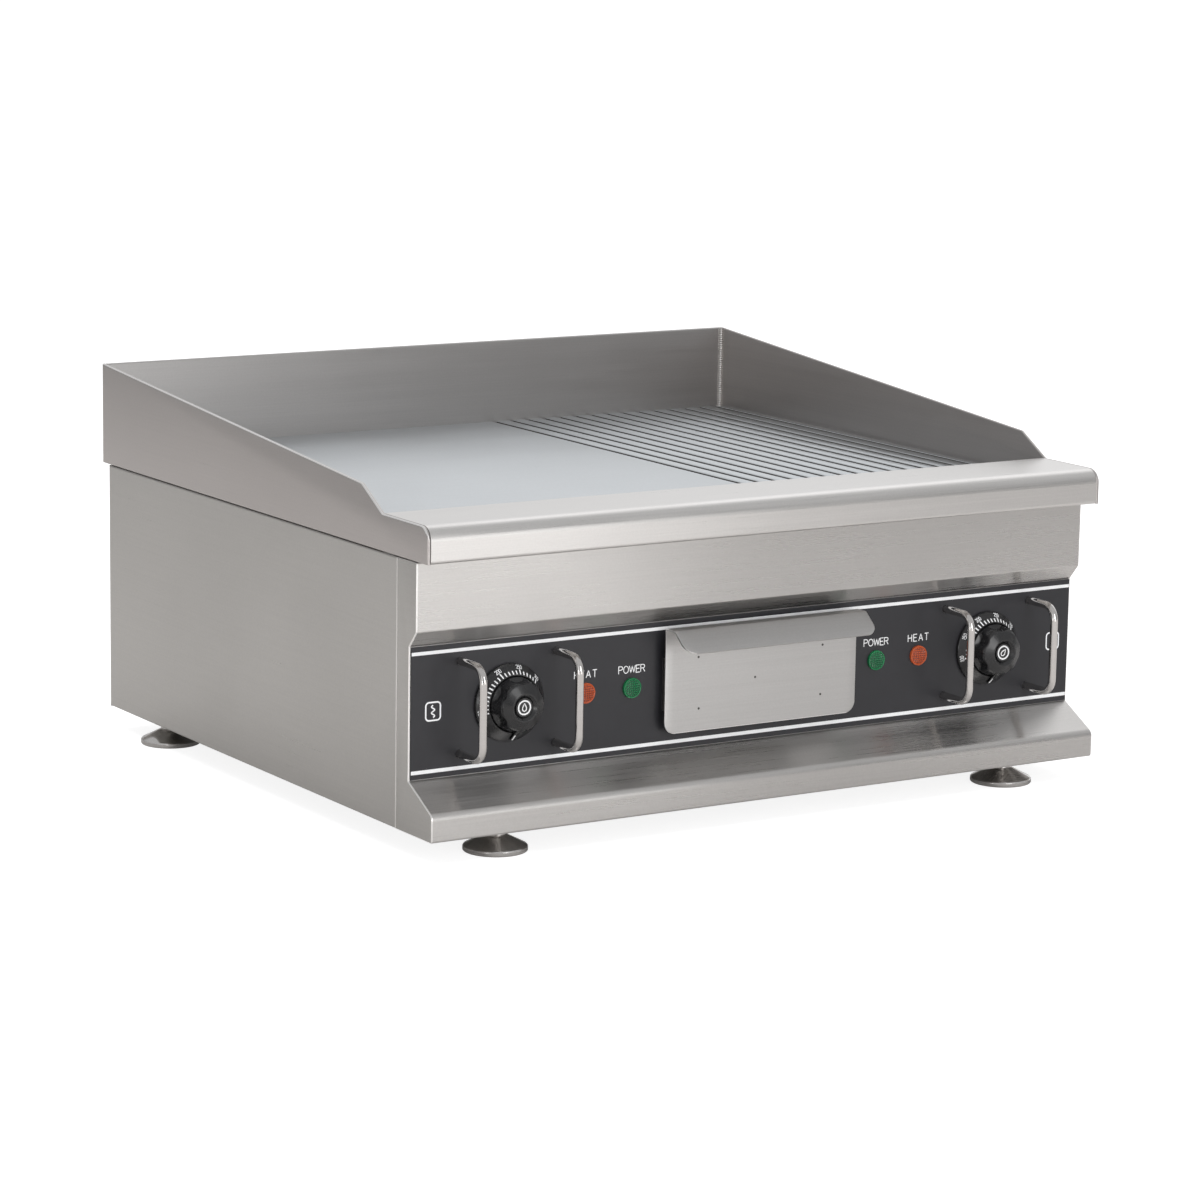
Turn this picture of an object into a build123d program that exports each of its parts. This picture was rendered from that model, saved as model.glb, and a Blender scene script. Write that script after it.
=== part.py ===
from build123d import *
import os

os.makedirs("parts", exist_ok=True)

# Countertop electric griddle, half smooth and half ribbed, with a splash guard on three sides.
# Millimetres, +Z up, -Y is the operator's side. The origin is on the surface the griddle stands
# on, midway between the front edge of the drawer handle and the tip of the rear cable gland.

# ------------------------------------------------------------------ driving dimensions
width = 600.0            # over the splash walls and the bullnose
depth = 529.0            # bullnose front to the back of the rear splash wall
front_y = -266.0         # plane of the bullnose front
back_y = front_y + depth

# levels
body_bottom = 18.0
body_top = 216.5
skirt_bottom = 217.5
plate_top = 228.5
shelf_top = 244.5
splash_top = 298.0

# sheet metal
sheet = 1.2
wall = 3.0               # hemmed splash wall
inner_half = width / 2 - wall
body_half = width / 2 - 2.0
side_inner = body_half - sheet
body_back = back_y - 8.5

# splash walls and front shelf
step_top_y = front_y + 96.3
step_top_z = 262.5
step_foot_y = front_y + 65.5
bullnose_radius = 10.5
shelf_rear_y = front_y + 70.0

# griddle plate: ribs are what the grooves leave between them
plate_front_y = front_y + 118.0
plate_rear_y = back_y - wall
groove_first_x = 66.3
groove_pitch = 16.0
groove_count = 15
groove_width = 4.6
groove_floor = 1.6
groove_depth = 3.4

# grease trough and drain
trough_floor = 192.0
trough_half = 289.0
drain_y = front_y + 94.0
drain_radius = 15.0

# heating zones
zone_x = 148.0
leg_pitch = 44.0
element_radius = 4.25
element_z = skirt_bottom - element_radius

# front fascia
apron_y = front_y + 18.5
apron_bottom = 166.0
panel_y = front_y + 27.8         # front face of the black overlay
panel_thickness = 0.8
overlay_half = body_half - 1.6   # leaves the ends of the steel showing beside it
recess_y = panel_y + panel_thickness
recess_top = 154.3
recess_bottom = 56.4
lip_y = front_y - 5.7
lip_top = 37.6
seam_y = front_y + 46.3
fascia_back = recess_y + sheet

# controls on the panel
control_z = 106.5
dial_x = 215.8
lamp_xs = {"lamp_heat_left": -150.4, "lamp_power_left": -110.5,
           "lamp_power_right": 110.5, "lamp_heat_right": 150.4}
bezel_radius = 28.7
bezel_thickness = 3.0
scale_ring_radius = 21.6         # inner end of the sloping scale, where the ring is flat on top
scale_ring_bore = 20.8
scale_ring_height = 9.4
spindle_radius = 3.0
bush_radius = 5.0
guard_xs = (-256.2, -175.8, 175.8, 256.2)
guard_radius = 3.0
guard_half_height = 34.0
guard_feet = [(x, control_z + end * guard_half_height) for x in guard_xs for end in (-1, 1)]
guard_reach_y = front_y - 5.0
guard_bend = 11.0

# grease drawer
drawer_front_y = front_y + 20.0
drawer_half = 86.0
drawer_bottom = 70.0
drawer_top = 150.0
handle_y = front_y - 9.0         # free edge of the handle flange
handle_drop = 14.2
tray_half = 77.5
tray_bottom = 76.0
tray_top = 140.0
tray_rear_y = front_y + 331.0
opening_half = 79.5
opening_bottom = 73.0
opening_top = 146.0

# feet
foot_radius = 23.8
stud_radius = 4.0
foot_places = {
    "front_left": (-229.5, front_y + 21.0),
    "front_right": (229.5, front_y + 21.0),
    "rear_left": (-280.0, front_y + 447.0),
    "rear_right": (280.0, front_y + 447.0),
}

# rear connections
gland_x = -230.0
gland_z = 66.0
gland_tip_y = 275.0
bond_x = -180.0
bond_z = 50.0


# ------------------------------------------------------------------ helpers
def save(piece, node):
    """Label a finished piece and write it to its own STEP file."""
    piece.part.label = node
    export_step(piece.part, f"parts/{node}.step")


def mirrored(piece):
    """The right-hand twin of a left-hand piece."""
    with BuildPart() as twin:
        mirror(piece.part, about=Plane.YZ)
    return twin


def folded(points, radii, thickness, side=Side.LEFT):
    """Add the cross-section of a folded sheet to the sketch; the points run along its outer skin."""
    with BuildLine() as line:
        FilletPolyline(*points, radius=radii)
        offset(amount=thickness, side=side)
    make_face(line.edges())


def upright(y):
    """Vertical sketch plane at y, seen from the front; a positive extrusion comes forward."""
    return Plane.XZ.offset(-y)


def axial(x, z):
    """Horizontal sketch plane through a front-to-back axis: local x is radius, local y is Y."""
    return Plane(origin=(x, 0, z), x_dir=(1, 0, 0), z_dir=(0, 0, 1))


def turned(points, x, z):
    """Revolve a closed (radius, y) outline about the front-to-back axis at x, z."""
    with BuildSketch(axial(x, z)) as section:
        with BuildLine() as outline:
            Polyline(*points, close=True)
        make_face(outline.edges())
    revolve(section.sketch, axis=Axis((x, 0, z), (0, 1, 0)))


# ------------------------------------------------------------------ splash guard and front shelf
with BuildPart() as splash_side_left:
    with BuildSketch(Plane.YZ.offset(-width / 2)):
        with BuildLine():
            Polyline((front_y, shelf_top - bullnose_radius), (front_y, skirt_bottom),
                     (back_y, skirt_bottom), (back_y, splash_top), (step_top_y, step_top_z),
                     (step_foot_y, shelf_top), (front_y + bullnose_radius, shelf_top))
            RadiusArc((front_y + bullnose_radius, shelf_top),
                      (front_y, shelf_top - bullnose_radius), -bullnose_radius)
        make_face()
    extrude(amount=wall)
save(splash_side_left, "splash_side_left")
save(mirrored(splash_side_left), "splash_side_right")

with BuildPart() as splash_back:
    with BuildSketch(Plane.YZ):
        with Locations((back_y - wall / 2, (skirt_bottom + splash_top) / 2)):
            Rectangle(wall, splash_top - skirt_bottom)
    extrude(amount=inner_half, both=True)
save(splash_back, "splash_back")

shelf_sheet = 1.5
shelf_bend = 2.5
shelf_rear_drop = 18.5
shelf_under_fold = 40.0
with BuildPart() as front_shelf:
    with BuildSketch(Plane.YZ):
        folded([(shelf_rear_y, shelf_top - shelf_rear_drop), (shelf_rear_y, shelf_top),
                (front_y, shelf_top), (front_y, skirt_bottom), (front_y + shelf_under_fold, skirt_bottom)],
               [shelf_bend, bullnose_radius, shelf_bend], shelf_sheet)
    extrude(amount=inner_half, both=True)
save(front_shelf, "front_shelf")

# ------------------------------------------------------------------ griddle plate, trough and drain
with BuildPart() as griddle_plate:
    with BuildSketch(Plane.XZ.offset(-plate_rear_y)):
        with Locations((0, (skirt_bottom + plate_top) / 2)):
            Rectangle(2 * inner_half, plate_top - skirt_bottom)
        for number in range(groove_count):
            with BuildLine():
                x = groove_first_x + number * groove_pitch
                Polyline((x - groove_width / 2, plate_top), (x - groove_floor / 2, plate_top - groove_depth),
                         (x + groove_floor / 2, plate_top - groove_depth),
                         (x + groove_width / 2, plate_top), close=True)
            make_face(mode=Mode.SUBTRACT)
    extrude(amount=plate_rear_y - plate_front_y)
save(griddle_plate, "griddle_plate")

trough_wall_top = shelf_top - 8.5
with BuildPart() as grease_trough:
    with BuildSketch(Plane.YZ):
        folded([(shelf_rear_y, trough_wall_top), (shelf_rear_y, trough_floor), (plate_front_y, trough_floor),
                (plate_front_y, plate_top - 1)], 4, sheet)
    extrude(amount=trough_half, both=True)
    with BuildSketch(Plane.XY.offset(trough_floor)):
        with Locations((0, drain_y)):
            Circle(drain_radius + 0.05)
    extrude(amount=2 * sheet, mode=Mode.SUBTRACT)
    for side in (-1, 1):
        with BuildSketch(Plane.YZ.offset(side * trough_half)):
            with Locations(((shelf_rear_y + plate_front_y) / 2, (trough_floor + skirt_bottom) / 2)):
                Rectangle(plate_front_y - shelf_rear_y - 2, skirt_bottom - trough_floor + sheet)
        extrude(amount=-side * sheet)
        with BuildSketch(Plane.XY.offset(skirt_bottom)):
            with Locations((side * (trough_half + inner_half - sheet) / 2,
                            (shelf_rear_y + plate_front_y) / 2)):
                Rectangle(inner_half - trough_half + sheet, plate_front_y - shelf_rear_y - 2 * sheet)
        extrude(amount=sheet)
save(grease_trough, "grease_trough")

spout_gap = 6.0                  # between the spout and the tray it drains into
spout_flange = 3.0
with BuildPart() as drain_spout:
    with BuildSketch(Plane.XY.offset(tray_top + spout_gap)):
        with Locations((0, drain_y)):
            Circle(drain_radius)
            Circle(drain_radius - sheet, mode=Mode.SUBTRACT)
    extrude(amount=trough_floor + sheet - tray_top - spout_gap)
    with BuildSketch(Plane.XY.offset(trough_floor + sheet)):
        with Locations((0, drain_y)):
            Circle(drain_radius + spout_flange)
            Circle(drain_radius - sheet, mode=Mode.SUBTRACT)
    extrude(amount=1.0)
save(drain_spout, "drain_spout")

# ------------------------------------------------------------------ what is under the plate
gasket_width = 6.5
gasket_half = body_half - 1.5
gasket_front_y = front_y + 22.0
gasket_depth = body_back - 2.0 - gasket_front_y
with BuildPart() as plate_gasket:
    with BuildSketch(Plane.XY.offset(body_top)):
        with Locations((0, gasket_front_y + gasket_depth / 2)):
            Rectangle(2 * gasket_half, gasket_depth)
            Rectangle(2 * (gasket_half - gasket_width), gasket_depth - 2 * gasket_width,
                      mode=Mode.SUBTRACT)
    extrude(amount=skirt_bottom - body_top)
save(plate_gasket, "plate_gasket")

leg_front_y = front_y + 150.0
leg_rear_y = front_y + 490.0
terminal_y = front_y + 128.0
terminal_z = 190.0
first_leg = -zone_x - 2.5 * leg_pitch
legs = [first_leg + number * leg_pitch for number in range(6)]
element_path = [(legs[0], terminal_y, terminal_z), (legs[0], terminal_y, element_z)]
for turn in range(5):
    turn_y = leg_front_y if turn % 2 else leg_rear_y
    element_path += [(legs[turn], turn_y, element_z), (legs[turn + 1], turn_y, element_z)]
element_path += [(legs[5], terminal_y, element_z), (legs[5], terminal_y, terminal_z)]
with BuildPart() as element_left:
    with BuildLine() as element_line:
        FilletPolyline(*element_path, radius=[12] + 10 * [20] + [12])
    with BuildSketch(Plane(origin=element_line.line @ 0, z_dir=element_line.line % 0)):
        Circle(element_radius)
    sweep()
save(element_left, "element_left")
save(mirrored(element_left), "element_right")

clamp_top = element_z - element_radius
clamp_thickness = 3.0
clamp_stud_radius = 3.0
clamp_centres = [(zone * zone_x, y) for zone in (-1, 1) for y in (front_y + 230, front_y + 410)]
stud_centres = [(x + shift, y) for x, y in clamp_centres for shift in (-2 * leg_pitch, 0, 2 * leg_pitch)]
with BuildPart() as element_clamps:
    with BuildSketch(Plane.XY.offset(clamp_top - clamp_thickness)):
        with Locations(*clamp_centres):
            Rectangle(5.6 * leg_pitch, 20)
        with Locations(*stud_centres):
            Circle(clamp_stud_radius + 0.3, mode=Mode.SUBTRACT)
    extrude(amount=clamp_thickness)
save(element_clamps, "element_clamps")

with BuildPart() as clamp_studs:
    with BuildSketch(Plane.XY.offset(skirt_bottom - 16)):
        with Locations(*stud_centres):
            Circle(clamp_stud_radius)
    extrude(amount=16)
    with BuildSketch(Plane.XY.offset(clamp_top - clamp_thickness - 4)):
        with Locations(*stud_centres):
            RegularPolygon(5, 6, major_radius=False)
    extrude(amount=4)
save(clamp_studs, "clamp_studs")

shield_floor = 176.0
shield_front_y = front_y + 134.0
shield_rear_y = front_y + 500.0
shield_half = side_inner - 0.1
with BuildPart() as heat_shield:
    with BuildSketch(upright(shield_rear_y)):
        folded([(-shield_half, 194), (-shield_half, shield_floor), (shield_half, shield_floor),
                (shield_half, 194)], 2.5, sheet)
    extrude(amount=shield_rear_y - shield_front_y)
save(heat_shield, "heat_shield")

with BuildPart() as insulation_board:
    with BuildSketch(Plane.XY.offset(shield_floor + sheet)):
        with Locations((0, (shield_front_y + shield_rear_y) / 2)):
            Rectangle(2 * shield_half - 12, shield_rear_y - shield_front_y - 6)
    extrude(amount=20)
save(insulation_board, "insulation_board")

# ------------------------------------------------------------------ housing panels
side_front_y = seam_y + 0.25
side_rear_y = body_back - sheet
rear_flange = 15.0
screw_radius = 1.9
screw_hole = 2.0
rear_screws = [(side * (side_inner - rear_flange / 2), z) for side in (-1, 1)
               for z in (36.0, 77.0, 118.0, 159.0, 200.0)]
base_z = body_bottom + sheet
base_screws = [(x, y) for x in (-100.0, 100.0) for y in (front_y + 26, side_rear_y - 9)]
base_screws += [(side * (body_half - 10), y) for side in (-1, 1) for y in (front_y + 120, front_y + 300)]
foot_hole = stud_radius + 0.4


def base_holes():
    """Cut the holes for the foot studs and the base screws out of the sketch."""
    with Locations(*foot_places.values()):
        Circle(foot_hole, mode=Mode.SUBTRACT)
    with Locations(*base_screws):
        Circle(screw_hole, mode=Mode.SUBTRACT)


with BuildPart() as body_side_left:
    with BuildSketch(Plane.XY.offset(body_bottom)):
        with Locations((-body_half + 11, (side_front_y + side_rear_y) / 2)):
            Rectangle(18, side_rear_y - side_front_y)
        base_holes()
    extrude(amount=sheet)
    with BuildSketch(upright(side_rear_y)):
        folded([(-body_half + 2, body_bottom), (-body_half, body_bottom), (-body_half, body_top),
                (-body_half + 8, body_top)], 1.5, sheet, Side.RIGHT)
    extrude(amount=side_rear_y - side_front_y)
    with BuildSketch(upright(side_rear_y)):
        with Locations((-side_inner + rear_flange / 2, (body_bottom + body_top) / 2)):
            Rectangle(rear_flange, body_top - body_bottom - 2 * sheet)
        with Locations(*rear_screws):
            Circle(screw_hole, mode=Mode.SUBTRACT)
    extrude(amount=sheet)
save(body_side_left, "body_side_left")
save(mirrored(body_side_left), "body_side_right")

vents = [(x, 95.0 + 13 * row) for x in (-125, 125) for row in range(6)]
with BuildPart() as back_panel:
    with BuildSketch(upright(body_back)):
        with Locations((0, (body_bottom + body_top) / 2)):
            Rectangle(2 * body_half, body_top - body_bottom)
        with Locations(*rear_screws):
            Circle(screw_hole, mode=Mode.SUBTRACT)
        with Locations(*vents):
            SlotOverall(110, 3.6, mode=Mode.SUBTRACT)
        with Locations((gland_x, gland_z)):
            Circle(10.1, mode=Mode.SUBTRACT)
        with Locations((bond_x, bond_z)):
            Circle(3.1, mode=Mode.SUBTRACT)
    extrude(amount=sheet)
    for flange_z in (body_bottom, body_top - sheet):
        with BuildSketch(Plane.XY.offset(flange_z)):
            with Locations((0, side_rear_y - 9)):
                Rectangle(2 * (side_inner - 20), 18)
            base_holes()
        extrude(amount=sheet)
save(back_panel, "body_back")

with BuildPart() as base_plate:
    with BuildSketch(Plane.XY.offset(base_z)):
        with Locations((0, (lip_y + 4 + side_rear_y - 2.6) / 2)):
            Rectangle(2 * (side_inner - 0.3), side_rear_y - lip_y - 6.6)
        base_holes()
    extrude(amount=sheet)
save(base_plate, "base_plate")

# ------------------------------------------------------------------ folded front with its recess
front_skin = [(seam_y, body_top), (apron_y, body_top), (apron_y, apron_bottom),
              (recess_y, recess_top), (recess_y, recess_bottom), (lip_y, lip_top),
              (lip_y, body_bottom), (seam_y, body_bottom)]
front_bends = [1.6, 1.8, 1.0, 1.0, 6.0, 1.8]


def panel_openings(clearance, mode):
    """Outlines of the openings that the overlay and the fascia behind it share."""
    with Locations((0, (opening_bottom + opening_top) / 2)):
        Rectangle(2 * opening_half, opening_top - opening_bottom, mode=mode)
    with Locations(*[(x, control_z) for x in (-dial_x, dial_x, *lamp_xs.values())]):
        Circle(bush_radius + clearance, mode=mode)
    with Locations(*guard_feet):
        Circle(guard_radius + clearance, mode=mode)


with BuildPart() as front_fascia:
    with BuildSketch(Plane.YZ):
        folded(front_skin, front_bends, sheet)
    extrude(amount=side_inner, both=True)
    with BuildSketch(upright(fascia_back + 0.1)):
        panel_openings(0.2, Mode.ADD)
    extrude(amount=sheet + 0.2, mode=Mode.SUBTRACT)
    with BuildSketch(Plane.XY.offset(body_bottom)):
        with Locations(foot_places["front_left"], foot_places["front_right"]):
            Circle(foot_hole)
        with Locations((-100, front_y + 26), (100, front_y + 26)):
            Circle(screw_hole)
    extrude(amount=sheet, mode=Mode.SUBTRACT)
save(front_fascia, "front_fascia")

with BuildPart() as front_cheek_left:
    with BuildSketch(Plane.YZ.offset(-body_half)):
        with BuildLine() as cheek_line:
            skin = FilletPolyline(*front_skin, radius=front_bends)
            Line(skin @ 1, skin @ 0)
        make_face()
    extrude(amount=sheet)
save(front_cheek_left, "front_cheek_left")
save(mirrored(front_cheek_left), "front_cheek_right")

with BuildPart() as control_panel:
    with BuildSketch(upright(recess_y)):
        with Locations((0, (recess_top + recess_bottom) / 2)):
            Rectangle(2 * overlay_half, recess_top - recess_bottom - 1.2)
        panel_openings(0.1, Mode.SUBTRACT)
    extrude(amount=panel_thickness)
save(control_panel, "control_panel")

# ------------------------------------------------------------------ thermostats, dials and knobs
with BuildPart() as dial_bezel_left:
    turned([(bush_radius + 1, panel_y), (bezel_radius, panel_y), (bezel_radius, panel_y - 2.2),
            (bezel_radius - 0.5, panel_y - bezel_thickness),
            (scale_ring_radius, panel_y - scale_ring_height), (scale_ring_bore, panel_y - scale_ring_height),
            (scale_ring_bore, panel_y - bezel_thickness), (bush_radius + 1, panel_y - bezel_thickness)],
           -dial_x, control_z)
save(dial_bezel_left, "dial_bezel_left")
save(mirrored(dial_bezel_left), "dial_bezel_right")

# the knob turns inside the scale ring, 0.5 clear of the bezel; heights are measured out from the panel
skirt_radius = 20.2
skirt_height = bezel_thickness + 0.5
knob_rim_height = 20.4
knob_face_height = 24.4
dish_height = 21.4
bore_height = 18.0
scallop_radius = 9.0
scallop_distance = 25.6
scallop_start = scale_ring_height + 0.8
with BuildPart() as knob_left:
    turned([(0, panel_y - bore_height), (spindle_radius, panel_y - bore_height),
            (spindle_radius, panel_y - skirt_height), (skirt_radius, panel_y - skirt_height),
            (skirt_radius, panel_y - scale_ring_height),
            (17.9, panel_y - knob_rim_height), (17.0, panel_y - knob_rim_height - 0.9),
            (10.6, panel_y - knob_face_height), (9.8, panel_y - knob_face_height),
            (7.0, panel_y - dish_height), (0, panel_y - dish_height)], -dial_x, control_z)
    with BuildSketch(upright(panel_y - scallop_start)):
        with Locations((-dial_x, control_z)):
            with PolarLocations(scallop_distance, 6, start_angle=90):
                Circle(scallop_radius)
    extrude(amount=knob_face_height, mode=Mode.SUBTRACT)
    with BuildSketch(Plane.YZ.offset(-dial_x)):
        with BuildLine():
            Polyline((panel_y - 10.2, control_z - 15), (panel_y - 10.2, control_z - 21.4),
                     (panel_y - 4.5, control_z - 27.4), (panel_y - 5.4, control_z - 27.6),
                     (panel_y - 11.2, control_z - 22.0), (panel_y - 19.0, control_z - 15.5),
                     (panel_y - 19.0, control_z - 15), close=True)
        make_face()
    extrude(amount=1.7, both=True)
save(knob_left, "knob_left")

with BuildPart() as knob_right:
    with Locations((2 * dial_x, 0, 0)):
        add(knob_left.part)
save(knob_right, "knob_right")

with BuildPart() as knob_cap_left:
    turned([(0, panel_y - dish_height), (6.9, panel_y - dish_height),
            (6.9, panel_y - dish_height - 1.2), (0, panel_y - dish_height - 1.2)], -dial_x, control_z)
save(knob_cap_left, "knob_cap_left")
save(mirrored(knob_cap_left), "knob_cap_right")

with BuildPart() as knob_spindle_left:
    turned([(0, panel_y - bore_height), (spindle_radius, panel_y - bore_height),
            (spindle_radius, fascia_back + 20), (0, fascia_back + 20)], -dial_x, control_z)
save(knob_spindle_left, "knob_spindle_left")
save(mirrored(knob_spindle_left), "knob_spindle_right")

thermostat_size = 44.0
thermostat_depth = 34.0
with BuildPart() as thermostat_left:
    with BuildSketch(upright(fascia_back + thermostat_depth)):
        with Locations((-dial_x, control_z)):
            RectangleRounded(thermostat_size, thermostat_size, 3)
    extrude(amount=thermostat_depth)
    with BuildSketch(upright(fascia_back)):
        with Locations((-dial_x, control_z)):
            Circle(bush_radius)
    extrude(amount=fascia_back - panel_y + 2.6)
    with BuildSketch(upright(fascia_back + 22)):
        with Locations((-dial_x, control_z)):
            Circle(spindle_radius + 0.08)
    extrude(amount=22 + fascia_back - panel_y + 2.6, mode=Mode.SUBTRACT)
    with BuildSketch(upright(fascia_back + thermostat_depth)):
        with Locations((-dial_x, control_z)):
            with GridLocations(18, 16, 2, 2):
                Rectangle(0.8, 6.3)
    extrude(amount=-9)
save(thermostat_left, "thermostat_left")
save(mirrored(thermostat_left), "thermostat_right")

capillary_radius = 1.2
bulb_radius = 3.0
bulb_z = skirt_bottom - bulb_radius
bulb_x = -zone_x
bulb_front_y = front_y + 150.0
bulb_length = 70.0
with BuildPart() as capillary_left:
    with BuildLine() as capillary_line:
        FilletPolyline((-dial_x + 12, fascia_back + 14, control_z + thermostat_size / 2),
                       (-dial_x + 12, fascia_back + 14, 152), (bulb_x, front_y + 126, 165),
                       (bulb_x, front_y + 126, bulb_z), (bulb_x, bulb_front_y, bulb_z), radius=8)
    with BuildSketch(Plane(origin=capillary_line.line @ 0, z_dir=capillary_line.line % 0)):
        Circle(capillary_radius)
    sweep()
    with BuildSketch(upright(bulb_front_y + bulb_length)):
        with Locations((bulb_x, bulb_z)):
            Circle(bulb_radius)
    extrude(amount=bulb_length)
save(capillary_left, "capillary_left")
save(mirrored(capillary_left), "capillary_right")

# ------------------------------------------------------------------ indicator lamps
for lamp, x in lamp_xs.items():
    with BuildPart() as lamp_lens:
        turned([(0, panel_y - 4.0), (5.4, panel_y - 3.8), (7.0, panel_y - 3.0), (7.7, panel_y - 1.8),
                (7.7, panel_y), (bush_radius, panel_y), (bush_radius, fascia_back), (0, fascia_back)],
               x, control_z)
    save(lamp_lens, lamp)

with BuildPart() as lamp_bodies:
    with BuildSketch(upright(fascia_back + 22)):
        with Locations(*[(x, control_z) for x in lamp_xs.values()]):
            Circle(6.6)
    extrude(amount=22)
save(lamp_bodies, "lamp_bodies")

# ------------------------------------------------------------------ knob guards
for number, x in enumerate(guard_xs, start=1):
    with BuildPart() as knob_guard:
        with BuildLine(Plane.YZ.offset(x)) as guard_line:
            FilletPolyline((fascia_back + 8, control_z + guard_half_height),
                           (guard_reach_y, control_z + guard_half_height),
                           (guard_reach_y, control_z - guard_half_height),
                           (fascia_back + 8, control_z - guard_half_height), radius=guard_bend)
        with BuildSketch(Plane(origin=guard_line.line @ 0, z_dir=guard_line.line % 0)):
            Circle(guard_radius)
        sweep()
    save(knob_guard, f"knob_guard_{number}")

with BuildPart() as guard_nuts:
    with BuildSketch(upright(fascia_back + 5)):
        with Locations(*guard_feet):
            RegularPolygon(5, 6, major_radius=False)
            Circle(guard_radius + 0.05, mode=Mode.SUBTRACT)
    extrude(amount=5)
save(guard_nuts, "guard_nuts")

# ------------------------------------------------------------------ grease drawer
with BuildPart() as drawer_front:
    with BuildSketch(Plane.YZ):
        folded([(drawer_front_y + sheet, drawer_bottom), (drawer_front_y + sheet, drawer_top),
                (drawer_front_y - 11.7, drawer_top), (handle_y, drawer_top - handle_drop)],
               [2.4, 4.5], sheet)
    extrude(amount=drawer_half, both=True)
    corners = drawer_front.edges().filter_by(lambda edge: abs(edge.length - sheet) < 0.01)
    fillet(corners.group_by(Axis.Y)[0], 10)
    corners = drawer_front.edges().filter_by(lambda edge: abs(edge.length - sheet) < 0.01)
    fillet(corners.group_by(Axis.Z)[0], 9)
save(drawer_front, "drawer_front")

tray_front_y = drawer_front_y + sheet
tray_length = tray_rear_y - tray_front_y
tray_centre = (0, tray_front_y + tray_length / 2)
with BuildPart() as drawer_box:
    with BuildSketch(Plane.XY.offset(tray_bottom)):
        with Locations(tray_centre):
            RectangleRounded(2 * tray_half, tray_length, 5)
    extrude(amount=tray_top - tray_bottom)
    with BuildSketch(Plane.XY.offset(tray_bottom + 1)):
        with Locations(tray_centre):
            RectangleRounded(2 * tray_half - 2, tray_length - 2, 4)
    extrude(amount=tray_top - tray_bottom, mode=Mode.SUBTRACT)
    with BuildSketch(upright(panel_y - 0.3)):
        with Locations((-tray_half - 2.5, control_z), (tray_half + 2.5, control_z)):
            Rectangle(6, 40)
    extrude(amount=1)
save(drawer_box, "drawer_box")

runner_bottom = tray_bottom - 0.3 - sheet
runner_outer = opening_half + sheet
with BuildPart() as drawer_runner_left:
    with BuildSketch(upright(front_y + 345)):
        folded([(-62, runner_bottom), (-runner_outer, runner_bottom), (-runner_outer, tray_top + 3.2),
                (-72, tray_top + 3.2)], 2, sheet, Side.RIGHT)
    extrude(amount=front_y + 345 - fascia_back)
save(drawer_runner_left, "drawer_runner_left")
save(mirrored(drawer_runner_left), "drawer_runner_right")

with BuildPart() as runner_support:
    with BuildSketch(Plane.YZ):
        folded([(front_y + 318, base_z + sheet), (front_y + 342, base_z + sheet),
                (front_y + 342, runner_bottom), (front_y + 318, runner_bottom)], 2, sheet)
    extrude(amount=runner_outer, both=True)
save(runner_support, "runner_support")

# ------------------------------------------------------------------ levelling feet
for place, (x, y) in foot_places.items():
    with BuildPart() as foot:
        with BuildSketch(Plane(origin=(x, y, 0), x_dir=(1, 0, 0), z_dir=(0, -1, 0))):
            with BuildLine():
                Polyline((0, 0), (foot_radius - 0.8, 0), (foot_radius, 0.8), (foot_radius, 3.4),
                         (foot_radius - 0.6, 4.2), (8.4, 11.6), (7.75, 12.4), (7.75, body_bottom - 0.3),
                         (stud_radius, body_bottom - 0.3), (stud_radius, 43.4),
                         (stud_radius - 0.6, 44), (0, 44), close=True)
            make_face()
        revolve(axis=Axis((x, y, 0), (0, 0, 1)))
    save(foot, f"foot_{place}")

with BuildPart() as foot_bushes:
    with BuildSketch(Plane.XY.offset(base_z + sheet)):
        with Locations(*foot_places.values()):
            RegularPolygon(8, 6, major_radius=False)
            Circle(stud_radius + 0.08, mode=Mode.SUBTRACT)
    extrude(amount=11)
save(foot_bushes, "foot_bushes")

# ------------------------------------------------------------------ rear connections
with BuildPart() as cable_gland:
    with BuildSketch(upright(body_back)):
        with Locations((gland_x, gland_z)):
            Circle(10)
    extrude(amount=12)
    with BuildSketch(upright(body_back)):
        with Locations((gland_x, gland_z)):
            RegularPolygon(12, 6, major_radius=False)
    extrude(amount=-6)
    turned([(0, body_back + 6), (11.4, body_back + 6), (11.4, body_back + 14),
            (9.0, gland_tip_y), (0, gland_tip_y)], gland_x, gland_z)
    with BuildSketch(upright(gland_tip_y)):
        with Locations((gland_x, gland_z)):
            Circle(6)
    extrude(amount=gland_tip_y - body_back + 12, mode=Mode.SUBTRACT)
save(cable_gland, "cable_gland")

with BuildPart() as gland_locknut:
    with BuildSketch(upright(side_rear_y)):
        with Locations((gland_x, gland_z)):
            RegularPolygon(13, 6, major_radius=False)
            Circle(10.05, mode=Mode.SUBTRACT)
    extrude(amount=4)
save(gland_locknut, "gland_locknut")

with BuildPart() as bonding_stud:
    turned([(0, side_rear_y - 4.8), (3, side_rear_y - 4.8), (3, body_back + 16), (0, body_back + 16)],
           bond_x, bond_z)
    for nut_y in (side_rear_y, body_back + 4):
        with BuildSketch(upright(nut_y)):
            with Locations((bond_x, bond_z)):
                RegularPolygon(5, 6, major_radius=False)
        extrude(amount=4)
save(bonding_stud, "bonding_stud")

block_y = body_back - 60.0
block_x = -190.0
block_top = base_z + sheet + 22
with BuildPart() as terminal_block:
    with BuildSketch(Plane.XY.offset(base_z + sheet)):
        with Locations((block_x, block_y)):
            Rectangle(72, 24)
    extrude(amount=22)
    with BuildSketch(Plane.XY.offset(block_top)):
        with Locations((block_x, block_y)):
            with GridLocations(12, 14, 6, 2):
                Circle(2)
    extrude(amount=-6, mode=Mode.SUBTRACT)
save(terminal_block, "terminal_block")

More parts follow.
